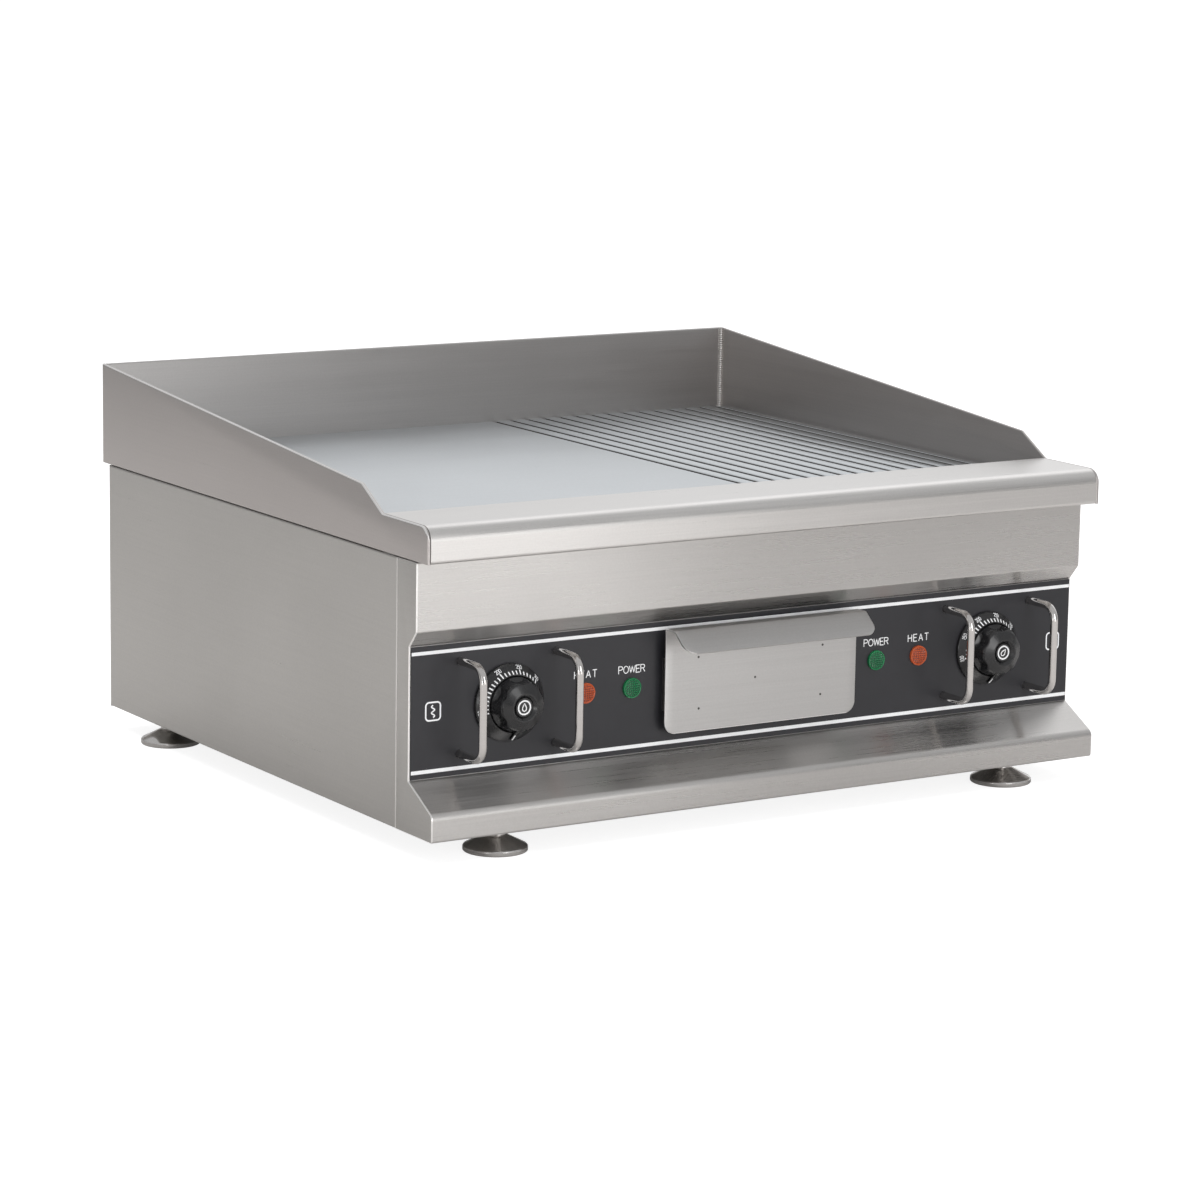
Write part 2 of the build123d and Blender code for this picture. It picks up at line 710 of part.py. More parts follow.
loom_end_y = fascia_back + thermostat_depth + 10
with BuildPart() as wiring_loom:
    for start_x, end_x in ((block_x - 18, -dial_x), (block_x + 18, dial_x)):
        with BuildLine() as loom_line:
            FilletPolyline((start_x, block_y, block_top), (start_x, block_y, 60),
                           (end_x, block_y - 30, 60), (end_x, loom_end_y + 20, 60),
                           (end_x, loom_end_y + 20, control_z), (end_x, loom_end_y, control_z), radius=8)
        with BuildSketch(Plane(origin=loom_line.line @ 0, z_dir=loom_line.line % 0)):
            Circle(3)
        sweep(path=loom_line.line)
save(wiring_loom, "wiring_loom")

head_radius = 3.6
head_height = 1.8
with BuildPart() as case_screws:
    with BuildSketch(upright(body_back)):
        with Locations(*rear_screws):
            Circle(screw_radius)
    extrude(amount=7)
    with BuildSketch(upright(body_back)):
        with Locations(*rear_screws):
            Circle(head_radius)
    extrude(amount=-head_height)
    with BuildSketch(Plane.XY.offset(body_bottom)):
        with Locations(*base_screws):
            Circle(screw_radius)
    extrude(amount=7)
    with BuildSketch(Plane.XY.offset(body_bottom)):
        with Locations(*base_screws):
            Circle(head_radius)
    extrude(amount=-head_height)
save(case_screws, "case_screws")
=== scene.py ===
import math

import bmesh
import bpy
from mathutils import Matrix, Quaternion, Vector


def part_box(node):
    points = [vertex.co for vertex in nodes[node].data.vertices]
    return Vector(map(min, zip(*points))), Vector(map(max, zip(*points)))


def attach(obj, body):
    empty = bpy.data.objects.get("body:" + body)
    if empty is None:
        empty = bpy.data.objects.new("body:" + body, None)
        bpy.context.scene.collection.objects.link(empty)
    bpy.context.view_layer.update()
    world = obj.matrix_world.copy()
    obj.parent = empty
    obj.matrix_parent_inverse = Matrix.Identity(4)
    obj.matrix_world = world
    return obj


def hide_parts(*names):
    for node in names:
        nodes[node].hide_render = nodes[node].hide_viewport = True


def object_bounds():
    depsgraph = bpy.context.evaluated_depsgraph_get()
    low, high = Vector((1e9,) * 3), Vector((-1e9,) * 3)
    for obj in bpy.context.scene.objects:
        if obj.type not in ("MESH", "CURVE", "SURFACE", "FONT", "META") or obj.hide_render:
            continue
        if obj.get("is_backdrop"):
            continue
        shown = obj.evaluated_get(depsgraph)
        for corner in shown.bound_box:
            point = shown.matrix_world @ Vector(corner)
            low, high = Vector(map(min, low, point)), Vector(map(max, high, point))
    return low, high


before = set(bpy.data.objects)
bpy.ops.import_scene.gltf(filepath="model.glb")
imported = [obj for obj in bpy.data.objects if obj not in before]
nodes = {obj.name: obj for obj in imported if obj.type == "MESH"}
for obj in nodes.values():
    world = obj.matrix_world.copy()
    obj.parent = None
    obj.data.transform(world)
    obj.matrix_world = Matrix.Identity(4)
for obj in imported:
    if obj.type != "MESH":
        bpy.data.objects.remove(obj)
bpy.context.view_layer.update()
MM = 0.001

# ------------------------------------------------------------------ camera
FRONT_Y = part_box("front_shelf")[0].y
AZIMUTH, ELEVATION, ROLL = math.radians(-32.253), math.radians(10.6436), math.radians(0.9423)
CAMERA_PLACE = Vector((-1.68815, FRONT_Y - 2.42703, 0.72014))
LENS_MM, SENSOR_MM = 121.724, 36.0

back = Vector((math.sin(AZIMUTH) * math.cos(ELEVATION),
               -math.cos(AZIMUTH) * math.cos(ELEVATION), math.sin(ELEVATION)))
camera_data = bpy.data.cameras.new("camera")
camera_data.lens = LENS_MM
camera_data.sensor_width = SENSOR_MM
camera_data.clip_start = 0.05
camera_data.clip_end = 60.0
camera = bpy.data.objects.new("camera", camera_data)
bpy.context.scene.collection.objects.link(camera)
camera.rotation_mode = "QUATERNION"
camera.location = CAMERA_PLACE
camera.rotation_quaternion = Quaternion(back, ROLL) @ (-back).to_track_quat("-Z", "Y")
bpy.context.scene.camera = camera

# ------------------------------------------------------------------ studio
def link(obj):
    """Puts an object in the scene and returns it."""
    bpy.context.scene.collection.objects.link(obj)
    return obj


def softbox(name, place, aim, size, watts):
    """A rectangular area lamp at place, facing aim."""
    data = bpy.data.lights.new(name, "AREA")
    data.shape = "RECTANGLE"
    data.size, data.size_y = size
    data.energy = watts
    lamp = link(bpy.data.objects.new(name, data))
    lamp.location = place
    lamp.rotation_mode = "QUATERNION"
    lamp.rotation_quaternion = (Vector(aim) - Vector(place)).to_track_quat("-Z", "Y")
    return lamp


class Graph:
    """A node tree with short calls for the nodes that the materials share."""

    def __init__(self, tree):
        self.tree = tree
        tree.nodes.clear()
        self.coords = None

    def node(self, kind, **settings):
        """A new node with those properties."""
        made = self.tree.nodes.new(kind)
        for key, value in settings.items():
            setattr(made, key, value)
        return made

    def join(self, source, target):
        self.tree.links.new(source, target)

    def feed(self, target, value):
        """Gives an input either a link or a plain value."""
        if isinstance(value, bpy.types.NodeSocket):
            self.join(value, target)
        else:
            target.default_value = value

    def place(self, scale, shift=(0.0, 0.0, 0.0)):
        """Object coordinates, scaled per axis."""
        if self.coords is None:
            self.coords = self.node("ShaderNodeTexCoord")
        mapping = self.node("ShaderNodeMapping")
        self.join(self.coords.outputs["Object"], mapping.inputs["Vector"])
        mapping.inputs["Scale"].default_value = scale
        mapping.inputs["Location"].default_value = shift
        return mapping.outputs["Vector"]

    def noise(self, scale, detail=2.0, roughness=0.5, shift=(0.0, 0.0, 0.0)):
        """Noise in object coordinates; scale is in cycles per metre for each axis."""
        made = self.node("ShaderNodeTexNoise")
        self.join(self.place(scale, shift), made.inputs["Vector"])
        made.inputs["Scale"].default_value = 1.0
        made.inputs["Detail"].default_value = detail
        made.inputs["Roughness"].default_value = roughness
        return made.outputs["Fac"]

    def spread(self, value, low, high, start=0.0, stop=1.0):
        """Value's range start..stop moved to low..high."""
        made = self.node("ShaderNodeMapRange")
        self.join(value, made.inputs["Value"])
        made.inputs["From Min"].default_value = start
        made.inputs["From Max"].default_value = stop
        made.inputs["To Min"].default_value = low
        made.inputs["To Max"].default_value = high
        return made.outputs["Result"]

    def math(self, operation, first, second=0.0):
        made = self.node("ShaderNodeMath", operation=operation)
        self.feed(made.inputs[0], first)
        self.feed(made.inputs[1], second)
        return made.outputs["Value"]

    def mix(self, share, first, second):
        """Colour between first and second."""
        made = self.node("ShaderNodeMix", data_type="RGBA")
        self.feed(made.inputs["Factor"], share)
        self.feed(made.inputs["A"], first)
        self.feed(made.inputs["B"], second)
        return made.outputs["Result"]

    def bump(self, height, distance, normal=None):
        """A normal for relief of that depth in metres, over another normal if one is given."""
        made = self.node("ShaderNodeBump")
        self.join(height, made.inputs["Height"])
        made.inputs["Distance"].default_value = distance
        if normal is not None:
            self.join(normal, made.inputs["Normal"])
        return made.outputs["Normal"]


def shade(colour, factor):
    """The colour made lighter or darker, with full alpha."""
    return tuple(channel * factor for channel in colour) + (1.0,)


def new_material(name):
    """A material with a Principled shader; returns it, its graph and the shader."""
    made = bpy.data.materials.new(name)
    made.use_nodes = True
    graph = Graph(made.node_tree)
    shader = graph.node("ShaderNodeBsdfPrincipled")
    output = graph.node("ShaderNodeOutputMaterial")
    graph.join(shader.outputs["BSDF"], output.inputs["Surface"])
    return made, graph, shader


# brushed metal: how far its colour and roughness vary, and the depth in metres of its waves and brush lines
TINT_SPREAD, LINE_SPREAD, CLOUD_SPREAD = 0.07, 0.05, 0.03
WAVE_DEPTH, SCRATCH_DEPTH = 0.00006, 0.0000018
# moulded plastic: how far its roughness varies, and the depth and scale of its fine pebble
MOULD_SPREAD, PEBBLE_DEPTH, PEBBLE_SCALE = 0.04, 0.00001, 2500.0


def streaked(across, along, grain):
    """Noise scales for streaks that run along the grain axis."""
    scale = [across] * 3
    scale[grain] = along
    return scale


def brushed_steel(name, colour, roughness, grain, anisotropy=0.5):
    """Metal with its brush lines along the grain axis (0, 1 or 2)."""
    made, graph, shader = new_material(name)
    lines = graph.noise(streaked(900.0, 9.0, grain), 3.0, 0.7)
    bands = graph.noise(streaked(170.0, 3.0, grain), 2.0, 0.5, (3.0, 1.0, 7.0))
    cloud = graph.noise((7.0,) * 3, 2.0, 0.5, (1.0, 5.0, 2.0))
    speckle = graph.noise((650.0,) * 3, 2.0, 0.6, (4.0, 8.0, 6.0))
    brushed = graph.math("ADD", graph.math("MULTIPLY", lines, 0.75), graph.math("MULTIPLY", bands, 0.25))
    mottled = graph.math("ADD", graph.math("MULTIPLY", brushed, 0.65), graph.math("MULTIPLY", speckle, 0.35))
    tint = graph.mix(graph.spread(mottled, 0.0, 1.0, 0.3, 0.7), shade(colour, 1.0 - TINT_SPREAD),
                     shade(colour, 1.0 + TINT_SPREAD))
    graph.join(tint, shader.inputs["Base Color"])
    shader.inputs["Metallic"].default_value = 1.0
    rough = graph.math("ADD", graph.spread(brushed, -LINE_SPREAD, LINE_SPREAD, 0.3, 0.7),
                       graph.spread(cloud, roughness - CLOUD_SPREAD, roughness + CLOUD_SPREAD, 0.3, 0.7))
    graph.join(rough, shader.inputs["Roughness"])
    ripple = graph.bump(graph.noise((5.0,) * 3, 1.0, 0.5, (9.0, 2.0, 4.0)), WAVE_DEPTH)
    graph.join(graph.bump(brushed, SCRATCH_DEPTH, ripple), shader.inputs["Normal"])
    shader.inputs["Anisotropic"].default_value = anisotropy
    shader.inputs["Anisotropic Rotation"].default_value = 0.25
    along = graph.node("ShaderNodeCombineXYZ")
    along.inputs[grain].default_value = 1.0
    graph.join(along.outputs["Vector"], shader.inputs["Tangent"])
    return made


def plastic(name, colour, roughness, mottle=0.08, coat=0.0):
    """A moulded or painted finish with a cloudy tint and a fine pebble."""
    made, graph, shader = new_material(name)
    cloud = graph.noise((60.0,) * 3, 3.0, 0.6)
    graph.join(graph.mix(graph.spread(cloud, 0.0, 1.0, 0.3, 0.7), shade(colour, 1.0 - mottle),
                         shade(colour, 1.0 + mottle)), shader.inputs["Base Color"])
    graph.join(graph.spread(cloud, roughness - MOULD_SPREAD, roughness + MOULD_SPREAD, 0.3, 0.7),
               shader.inputs["Roughness"])
    grains = graph.noise((PEBBLE_SCALE,) * 3, 1.0, 0.5)
    graph.join(graph.bump(grains, PEBBLE_DEPTH), shader.inputs["Normal"])
    shader.inputs["Coat Weight"].default_value = coat
    return made


# world: in reflections it is darkest at the horizon and paler overhead, with bright patches behind the
# object on its right and in front of it on its left; straight from the camera it is plain white
world = bpy.data.worlds.new("studio")
world.use_nodes = True
bpy.context.scene.world = world
sky = Graph(world.node_tree)
direction = sky.node("ShaderNodeTexCoord").outputs["Generated"]
sky_parts = sky.node("ShaderNodeSeparateXYZ")
sky.join(direction, sky_parts.inputs["Vector"])


def glow(aim, inner, outer, amount):
    """A soft patch of light of that radiance around the direction aim; the angles are in degrees."""
    product = sky.node("ShaderNodeVectorMath", operation="DOT_PRODUCT")
    sky.join(direction, product.inputs[0])
    product.inputs[1].default_value = Vector(aim).normalized()
    return sky.spread(product.outputs["Value"], 0.0, amount,
                      math.cos(math.radians(outer)), math.cos(math.radians(inner)))


GLOWS = (((0.80, 0.54, 0.25), 15, 50, 0.66), ((0.53, 0.42, 0.74), 6, 18, 0.45),
         ((-0.85, -0.50, 0.15), 5, 22, 0.8))
radiance = sky.spread(sky_parts.outputs["Z"], 0.36, 0.62, 0.15, 0.60)
for aim, inner, outer, amount in GLOWS:
    radiance = sky.math("ADD", radiance, glow(aim, inner, outer, amount))
background = sky.node("ShaderNodeBackground")
sky.join(radiance, background.inputs["Strength"])
background.inputs["Color"].default_value = (0.985, 0.99, 1.0, 1.0)
backdrop = sky.node("ShaderNodeBackground")
backdrop.inputs["Color"].default_value = (1.0, 1.0, 1.0, 1.0)
seen = sky.node("ShaderNodeLightPath")
either = sky.node("ShaderNodeMixShader")
sky.join(seen.outputs["Is Camera Ray"], either.inputs["Fac"])
sky.join(background.outputs["Background"], either.inputs[1])
sky.join(backdrop.outputs["Background"], either.inputs[2])
world_output = sky.node("ShaderNodeOutputWorld")
sky.join(either.outputs["Shader"], world_output.inputs["Surface"])

# floor: near white straight from the camera, grey paper to every other ray
FLOOR_HALF = 30.0
floor_mesh = bpy.data.meshes.new("studio_floor")
corners = [(-FLOOR_HALF, -FLOOR_HALF, 0), (FLOOR_HALF, -FLOOR_HALF, 0), (FLOOR_HALF, FLOOR_HALF, 0),
           (-FLOOR_HALF, FLOOR_HALF, 0)]
floor_mesh.from_pydata(corners, [], [(0, 1, 2, 3)])
floor = link(bpy.data.objects.new("studio_floor", floor_mesh))
floor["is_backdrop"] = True
paper, paper_graph, paper_shader = new_material("studio_paper")
rays = paper_graph.node("ShaderNodeLightPath")
REFLECTED_PAPER, SEEN_PAPER = (0.54, 0.525, 0.515, 1.0), (0.35, 0.35, 0.35, 1.0)
REFLECTED_GLOW, SEEN_GLOW = 0.05, 0.86
paper_graph.join(paper_graph.mix(rays.outputs["Is Camera Ray"], REFLECTED_PAPER, SEEN_PAPER),
                 paper_shader.inputs["Base Color"])
paper_graph.join(paper_graph.spread(rays.outputs["Is Camera Ray"], REFLECTED_GLOW, SEEN_GLOW),
                 paper_shader.inputs["Emission Strength"])
paper_shader.inputs["Emission Color"].default_value = (1.0, 1.0, 1.0, 1.0)
paper_shader.inputs["Roughness"].default_value = 0.9
paper_shader.inputs["Specular IOR Level"].default_value = 0.0
floor_mesh.materials.append(paper)

softbox("front_box", (0.1, -2.6, 0.9), (0.0, 0.0, 0.1), (0.9, 1.3), 12.0)
low_box = softbox("low_box", (0.16, -1.45, 0.20), (-0.20, -0.27, 0.12), (0.9, 0.5), 1.7)
left_box = softbox("left_box", (-1.0, -0.72, 0.10), (-0.3, -0.26, 0.12), (0.22, 0.22), 0.5)
low_box.visible_camera = left_box.visible_camera = False
overhead = softbox("overhead", (0.0, 0.0, 3.2), (0.0, 0.0, 0.0), (4.0, 4.0), 110.0)
overhead.visible_glossy = False

bpy.context.scene.view_settings.view_transform = "Standard"

# ------------------------------------------------------------------ materials
X, Y, Z = 0, 1, 2
SHEET = (0.60, 0.585, 0.57)
# the steel copies are toned per surface: the side, wall and back-wall copies are darker as painted shade, and
# the shelf copy is lighter as painted light on the top
steel_front = brushed_steel("steel_front", SHEET, 0.30, X, anisotropy=0.85)
steel_side = brushed_steel("steel_side", (0.50, 0.49, 0.472), 0.34, Y)
steel_wall = brushed_steel("steel_wall", (0.485, 0.46, 0.447), 0.34, Y)
steel_wall_back = brushed_steel("steel_wall_back", (0.53, 0.515, 0.505), 0.34, X)
steel_plate = brushed_steel("steel_plate", (0.555, 0.575, 0.59), 0.42, X, anisotropy=0.6)
# near-black steel: the real dark of the heating element and the weld spots, and painted shade on the faces
# inside the plate's grooves
steel_dark_and_groove_shade = brushed_steel("steel_dark_and_groove_shade", (0.11, 0.105, 0.10), 0.55, Y, anisotropy=0.2)
steel_drawer = brushed_steel("steel_drawer", (0.555, 0.548, 0.54), 0.36, X)
steel_rod = brushed_steel("steel_rod", (0.62, 0.60, 0.585), 0.11, Z, anisotropy=0.1)
steel_cast = brushed_steel("steel_cast", (0.60, 0.585, 0.57), 0.15, Z, anisotropy=0.1)
# a far lighter copy of the sheet steel, put on rounded and cut edges as a painted highlight
steel_painted_highlight = brushed_steel("steel_painted_highlight", (0.90, 0.885, 0.87), 0.34, Z, anisotropy=0.0)
# a lighter copy of the steel for the corner weld beads, a painted highlight
steel_weld = brushed_steel("steel_weld", (0.72, 0.69, 0.66), 0.3, X, anisotropy=0.0)
panel_black = plastic("panel_black", (0.020, 0.020, 0.024), 0.40)
knob_black = plastic("knob_black", (0.012, 0.012, 0.013), 0.28, coat=0.2)
gland_black = plastic("gland_black", (0.02, 0.02, 0.02), 0.4)
print_white = plastic("print_white", (0.95, 0.96, 0.97), 0.5, mottle=0.02)
lens_orange = plastic("lens_orange", (0.50, 0.085, 0.02), 0.25, coat=0.3)
lens_green = plastic("lens_green", (0.003, 0.17, 0.055), 0.25, coat=0.3)
# darker copies of the lens colours, painted shade for the valleys between the lens pyramids
lens_orange_shade = plastic("lens_orange_shade", (0.16, 0.02, 0.008), 0.3)
lens_green_shade = plastic("lens_green_shade", (0.002, 0.06, 0.025), 0.3)
# the shelf top's copy, lighter than the sheet steel as painted light
steel_shelf = brushed_steel("steel_shelf", (0.66, 0.645, 0.63), 0.32, X)
brass = brushed_steel("brass", (0.72, 0.55, 0.28), 0.3, Y, anisotropy=0.0)
copper = brushed_steel("copper", (0.75, 0.42, 0.28), 0.35, Y, anisotropy=0.0)
board = plastic("board", (0.72, 0.70, 0.64), 0.9, mottle=0.1)
ceramic = plastic("ceramic", (0.75, 0.74, 0.70), 0.5, mottle=0.05)

FINISHES = {
    "splash_steel": steel_wall, "shelf_steel": steel_shelf, "plate_steel": steel_plate,
    "trough_steel": steel_front, "body_steel": steel_side, "front_steel": steel_front,
    "drawer_steel": steel_drawer, "tray_steel": steel_side, "guard_steel": steel_rod,
    "foot_steel": steel_cast, "fastener_steel": steel_rod, "spindle_steel": steel_rod,
    "element_steel": steel_dark_and_groove_shade, "panel_black": panel_black, "bezel_black": knob_black,
    "knob_black": knob_black, "cap_black": knob_black, "lens_orange": lens_orange,
    "lens_green": lens_green, "lamp_body": gland_black, "thermostat_body": ceramic,
    "capillary_copper": copper, "insulation": board, "gasket": gland_black,
    "gland_plastic": gland_black, "terminal_ceramic": ceramic, "wire_sleeve": board, "bond_brass": brass,
}
slot_of = {name: node.material_slots[0].material.name for name, node in nodes.items()}
for name, node in nodes.items():
    node.material_slots[0].material = FINISHES[slot_of[name]]
nodes["body_back"].material_slots[0].material = steel_wall_back


# ------------------------------------------------------------------ mesh tools, in millimetres
def box_mm(node):
    """Lowest and highest corner of a CAD node in millimetres."""
    low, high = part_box(node)
    return low / MM, high / MM


def add_piece(name, points, faces, finishes, body, slot, replaced=(), face_finish=None, sharp=32.0):
    """A finished piece from points in millimetres; finishes is one material or a list."""
    mesh = bpy.data.meshes.new(name)
    mesh.from_pydata([Vector(p) * MM for p in points], [], faces)
    bm = bmesh.new()
    bm.from_mesh(mesh)
    bmesh.ops.remove_doubles(bm, verts=bm.verts, dist=1e-7)
    bmesh.ops.recalc_face_normals(bm, faces=bm.faces)
    bm.to_mesh(mesh)
    bm.free()
    return finish_piece(name, mesh, finishes, body, replaced, face_finish, sharp)


def finish_piece(name, mesh, finishes, body, replaced=(), face_finish=None, sharp=32.0):
    """Makes a mesh into a piece; face_finish picks each face's material, sharp is the crease angle."""
    for finish in finishes if isinstance(finishes, list) else [finishes]:
        mesh.materials.append(finish)
    mesh.polygons.foreach_set("use_smooth", [True] * len(mesh.polygons))
    if face_finish is not None:
        for polygon in mesh.polygons:
            polygon.material_index = face_finish(polygon)
    mesh.set_sharp_from_angle(angle=math.radians(sharp))
    obj = link(bpy.data.objects.new(name, mesh))
    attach(obj, body)
    if replaced:
        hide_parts(*replaced)
    return obj


class Shell:
    """Points and faces gathered from several closed shapes of one piece."""

    def __init__(self):
        self.points = []
        self.faces = []

    def add(self, points, faces):
        start = len(self.points)
        self.points += [tuple(p) for p in points]
        self.faces += [tuple(i + start for i in face) for face in faces]

    def piece(self, name, finishes, body, slot, **more):
        return add_piece(name, self.points, self.faces, finishes, body, slot, **more)


def loft(rings, capped=True):
    """Quads between equal closed rings of points; if capped, one face closes each end."""
    count = len(rings[0])
    points = [p for ring in rings for p in ring]
    faces = []
    for row in range(len(rings) - 1):
        for column in range(count):
            after = (column + 1) % count
            faces.append((row * count + column, row * count + after,
                          (row + 1) * count + after, (row + 1) * count + column))
    if capped:
        faces.append(tuple(range(count)))
        faces.append(tuple((len(rings) - 1) * count + i for i in reversed(range(count))))
    return points, faces


MITRE_LIMIT = 0.35


def inset(outline, amount):
    """A closed counter-clockwise outline moved inwards by amount."""
    moved = []
    for i, point in enumerate(outline):
        before = Vector(outline[i - 1])
        here = Vector(point)
        after = Vector(outline[(i + 1) % len(outline)])
        first = (here - before).normalized()
        second = (after - here).normalized()
        normal_in = Vector((-first.y, first.x))
        normal_out = Vector((-second.y, second.x))
        scale = amount / max(MITRE_LIMIT, (1.0 + normal_in.dot(normal_out)) / 2.0) / 2.0
        moved.append(here + (normal_in + normal_out) * scale)
    return moved


def counter_clockwise(outline):
    """The outline, reversed if it runs clockwise."""
    area = sum(a[0] * b[1] - b[0] * a[1] for a, b in zip(outline, outline[1:] + outline[:1]))
    return list(outline) if area > 0 else list(reversed(outline))


def rounded_prism(outline, start, stop, radius_start, radius_stop, place, steps=4):
    """An extrusion of the outline from start to stop with its end edges rounded.
    place(u, v, w) turns outline coordinates and the height w into a point."""
    outline = counter_clockwise(outline)
    rings = []
    for step in range(steps + 1):
        angle = math.pi / 2 * step / steps
        rings.append((radius_start * (1 - math.sin(angle)), start + radius_start * (1 - math.cos(angle))))
    for step in range(steps + 1):
        angle = math.pi / 2 * (1 - step / steps)
        rings.append((radius_stop * (1 - math.sin(angle)), stop - radius_stop * (1 - math.cos(angle))))
    return loft([[place(u, v, w) for u, v in inset(outline, amount)] for amount, w in rings])


def arc(centre, radius, start, stop, steps):
    """Points of an arc between two angles in degrees."""
    return [(centre[0] + radius * math.cos(math.radians(start + (stop - start) * i / steps)),
             centre[1] + radius * math.sin(math.radians(start + (stop - start) * i / steps)))
            for i in range(steps + 1)]


def filleted(points, radii, steps=6):
    """A polyline with its inner corners rounded; one radius for each inner point."""
    out = [tuple(points[0])]
    for before, here, after, radius in zip(points, points[1:], points[2:], radii):
        here = Vector(here)
        to_before = (Vector(before) - here).normalized()
        to_after = (Vector(after) - here).normalized()
        half = to_before.angle(to_after) / 2
        reach = radius / math.tan(half)
        centre = here + (to_before + to_after).normalized() * (radius / math.sin(half))
        first, last = here + to_before * reach, here + to_after * reach
        for i in range(steps + 1):
            spoke = (first - centre).slerp(last - centre, i / steps).normalized()
            out.append(tuple(centre + spoke * radius))
    out.append(tuple(points[-1]))
    return out


# ------------------------------------------------------------------ places read from the frame
panel_low, panel_high = box_mm("control_panel")
PANEL_Y = panel_low.y
shelf_low, shelf_high = box_mm("front_shelf")
wall_low, wall_high = box_mm("splash_side_left")
back_low, back_high = box_mm("splash_back")
plate_low, plate_high = box_mm("griddle_plate")
cheek_low, cheek_high = box_mm("front_cheek_left")
FRONT = shelf_low.y
BACK = back_high.y
WALL_INNER = shelf_high.x
HALF_WIDTH = -wall_low.x
BODY_HALF = -cheek_low.x


SIDES = ((-1, "left"), (1, "right"))


def sideways(side):
    """Places an outline's (u, v) as (y, z) and its height outwards on that side."""
    return lambda u, v, w: (side * w, u, v)


def centre_xz(node):
    """The middle of a CAD node seen from the front, in millimetres."""
    low, high = box_mm(node)
    return (low.x + high.x) / 2, (low.z + high.z) / 2


# ------------------------------------------------------------------ splash walls
NOSE, STEP_FOOT, STEP_HEAD, STEP_HEAD_Z = 10.5, 65.5, 96.3, 262.5
WALL_INNER_ROUND, WALL_ROUND, BACK_ROUND = 1.0, 1.3, 1.4


def side_outline():
    """The (y, z) outline of a side wall: bullnose, step and long slope."""
    top = shelf_high.z
    points = [(FRONT, wall_low.z), (BACK, wall_low.z), (BACK, wall_high.z)]
    points += filleted([(BACK, wall_high.z), (FRONT + STEP_HEAD, STEP_HEAD_Z), (FRONT + STEP_FOOT, top),
                        (FRONT + NOSE, top)], [4.0, 2.0], 4)[1:-1]
    points += arc((FRONT + NOSE, top - NOSE), NOSE, 90, 180, 10)
    return points


def hem_edge(polygon):
    """1 on the outer edge along the top of a splash wall, painted bright as a highlight, 0 elsewhere."""
    outer = abs(polygon.center.x) > (HALF_WIDTH - WALL_ROUND) * MM
    return 1 if outer and polygon.normal.z > 0.35 else 0


for side, label in SIDES:
    shell = Shell()
    shell.add(*rounded_prism(side_outline(), WALL_INNER, HALF_WIDTH, WALL_INNER_ROUND, WALL_ROUND,
                             sideways(side)))
    shell.piece(f"wall_{label}", [steel_wall, steel_painted_highlight], "housing", "splash_steel",
                replaced=[f"splash_side_{label}"], face_finish=hem_edge)

shoulder = wall_high.z - BACK_ROUND
back_outline = [(BACK, wall_low.z), (BACK, shoulder)]
back_outline += arc((BACK - BACK_ROUND, shoulder), BACK_ROUND, 0, 90, 5)[1:]
back_outline += arc((back_low.y + BACK_ROUND, shoulder), BACK_ROUND, 90, 180, 5)
back_outline += [(back_low.y, wall_low.z)]
shell = Shell()
shell.add(*rounded_prism(back_outline, -WALL_INNER, WALL_INNER, 0.05, 0.05, sideways(1), 1))
shell.piece("wall_back", steel_wall_back, "housing", "splash_steel", replaced=["splash_back"])

# weld beads that close the two inner corners, with the ripples that welding leaves
BEAD_RADIUS, BEAD_PITCH, BEAD_STEP, BEAD_SIDES, BEAD_INSET = 1.8, 1.7, 0.3, 16, 0.5
BEAD_RIPPLE, BEAD_SWELL, BEAD_DRIFT = 0.10, 0.05, 0.06
for side, label in SIDES:
    rings = []
    bottom, top = plate_high.z - 0.4, wall_high.z - 0.3
    count = int((top - bottom) / BEAD_STEP)
    for i in range(count + 1):
        z = bottom + (top - bottom) * i / count
        radius = BEAD_RADIUS * (1.0 + BEAD_RIPPLE * math.sin(2 * math.pi * z / BEAD_PITCH)
                                + BEAD_SWELL * math.sin(z * 0.7))
        centre_x = side * (WALL_INNER - BEAD_INSET)
        centre_y = back_low.y - BEAD_INSET + BEAD_DRIFT * math.sin(z * 0.31)
        rings.append([(centre_x + radius * math.cos(a), centre_y + radius * math.sin(a), z)
                      for a in (2 * math.pi * k / BEAD_SIDES for k in range(BEAD_SIDES))])
    shell = Shell()
    shell.add(*loft(rings))
    shell.piece(f"corner_weld_{label}", steel_weld, "housing", "splash_steel", sharp=60)

# ------------------------------------------------------------------ griddle plate
GROOVES, GROOVE_FIRST, GROOVE_PITCH, GROOVE_WIDTH, GROOVE_DEPTH = 15, 66.3, 16.0, 4.6, 3.4
# one flank of a groove: its lip as (distance out from the groove's edge, drop) and its foot as (distance
# from the groove's middle, rise)
GROOVE_LIP = ((0.35, 0.0), (0.05, 0.12), (-0.15, 0.4))
GROOVE_FLOOR = ((1.1, 0.35), (0.6, 0.04))
# the plate's rounded front edge: (distance back, drop)
PLATE_EDGE = ((0.0, 0.8), (0.25, 0.25), (0.8, 0.0))
GROOVED_X = (GROOVE_FIRST - 4, WALL_INNER - 3)
GROOVED_Z = (plate_high.z - 4, plate_high.z - 0.3)


def plate_profile():
    """The (x, z) top line of the plate from left to right, with rounded groove lips."""
    top, half = plate_high.z, GROOVE_WIDTH / 2
    line = [(-WALL_INNER, top)]
    for number in range(GROOVES):
        middle = GROOVE_FIRST + number * GROOVE_PITCH
        for side in (-1, 1):
            flank = [(middle + side * (half + out), top - drop) for out, drop in GROOVE_LIP]
            flank += [(middle + side * reach, top - GROOVE_DEPTH + rise) for reach, rise in GROOVE_FLOOR]
            line += flank if side < 0 else reversed(flank)
    line.append((WALL_INNER, top))
    return line


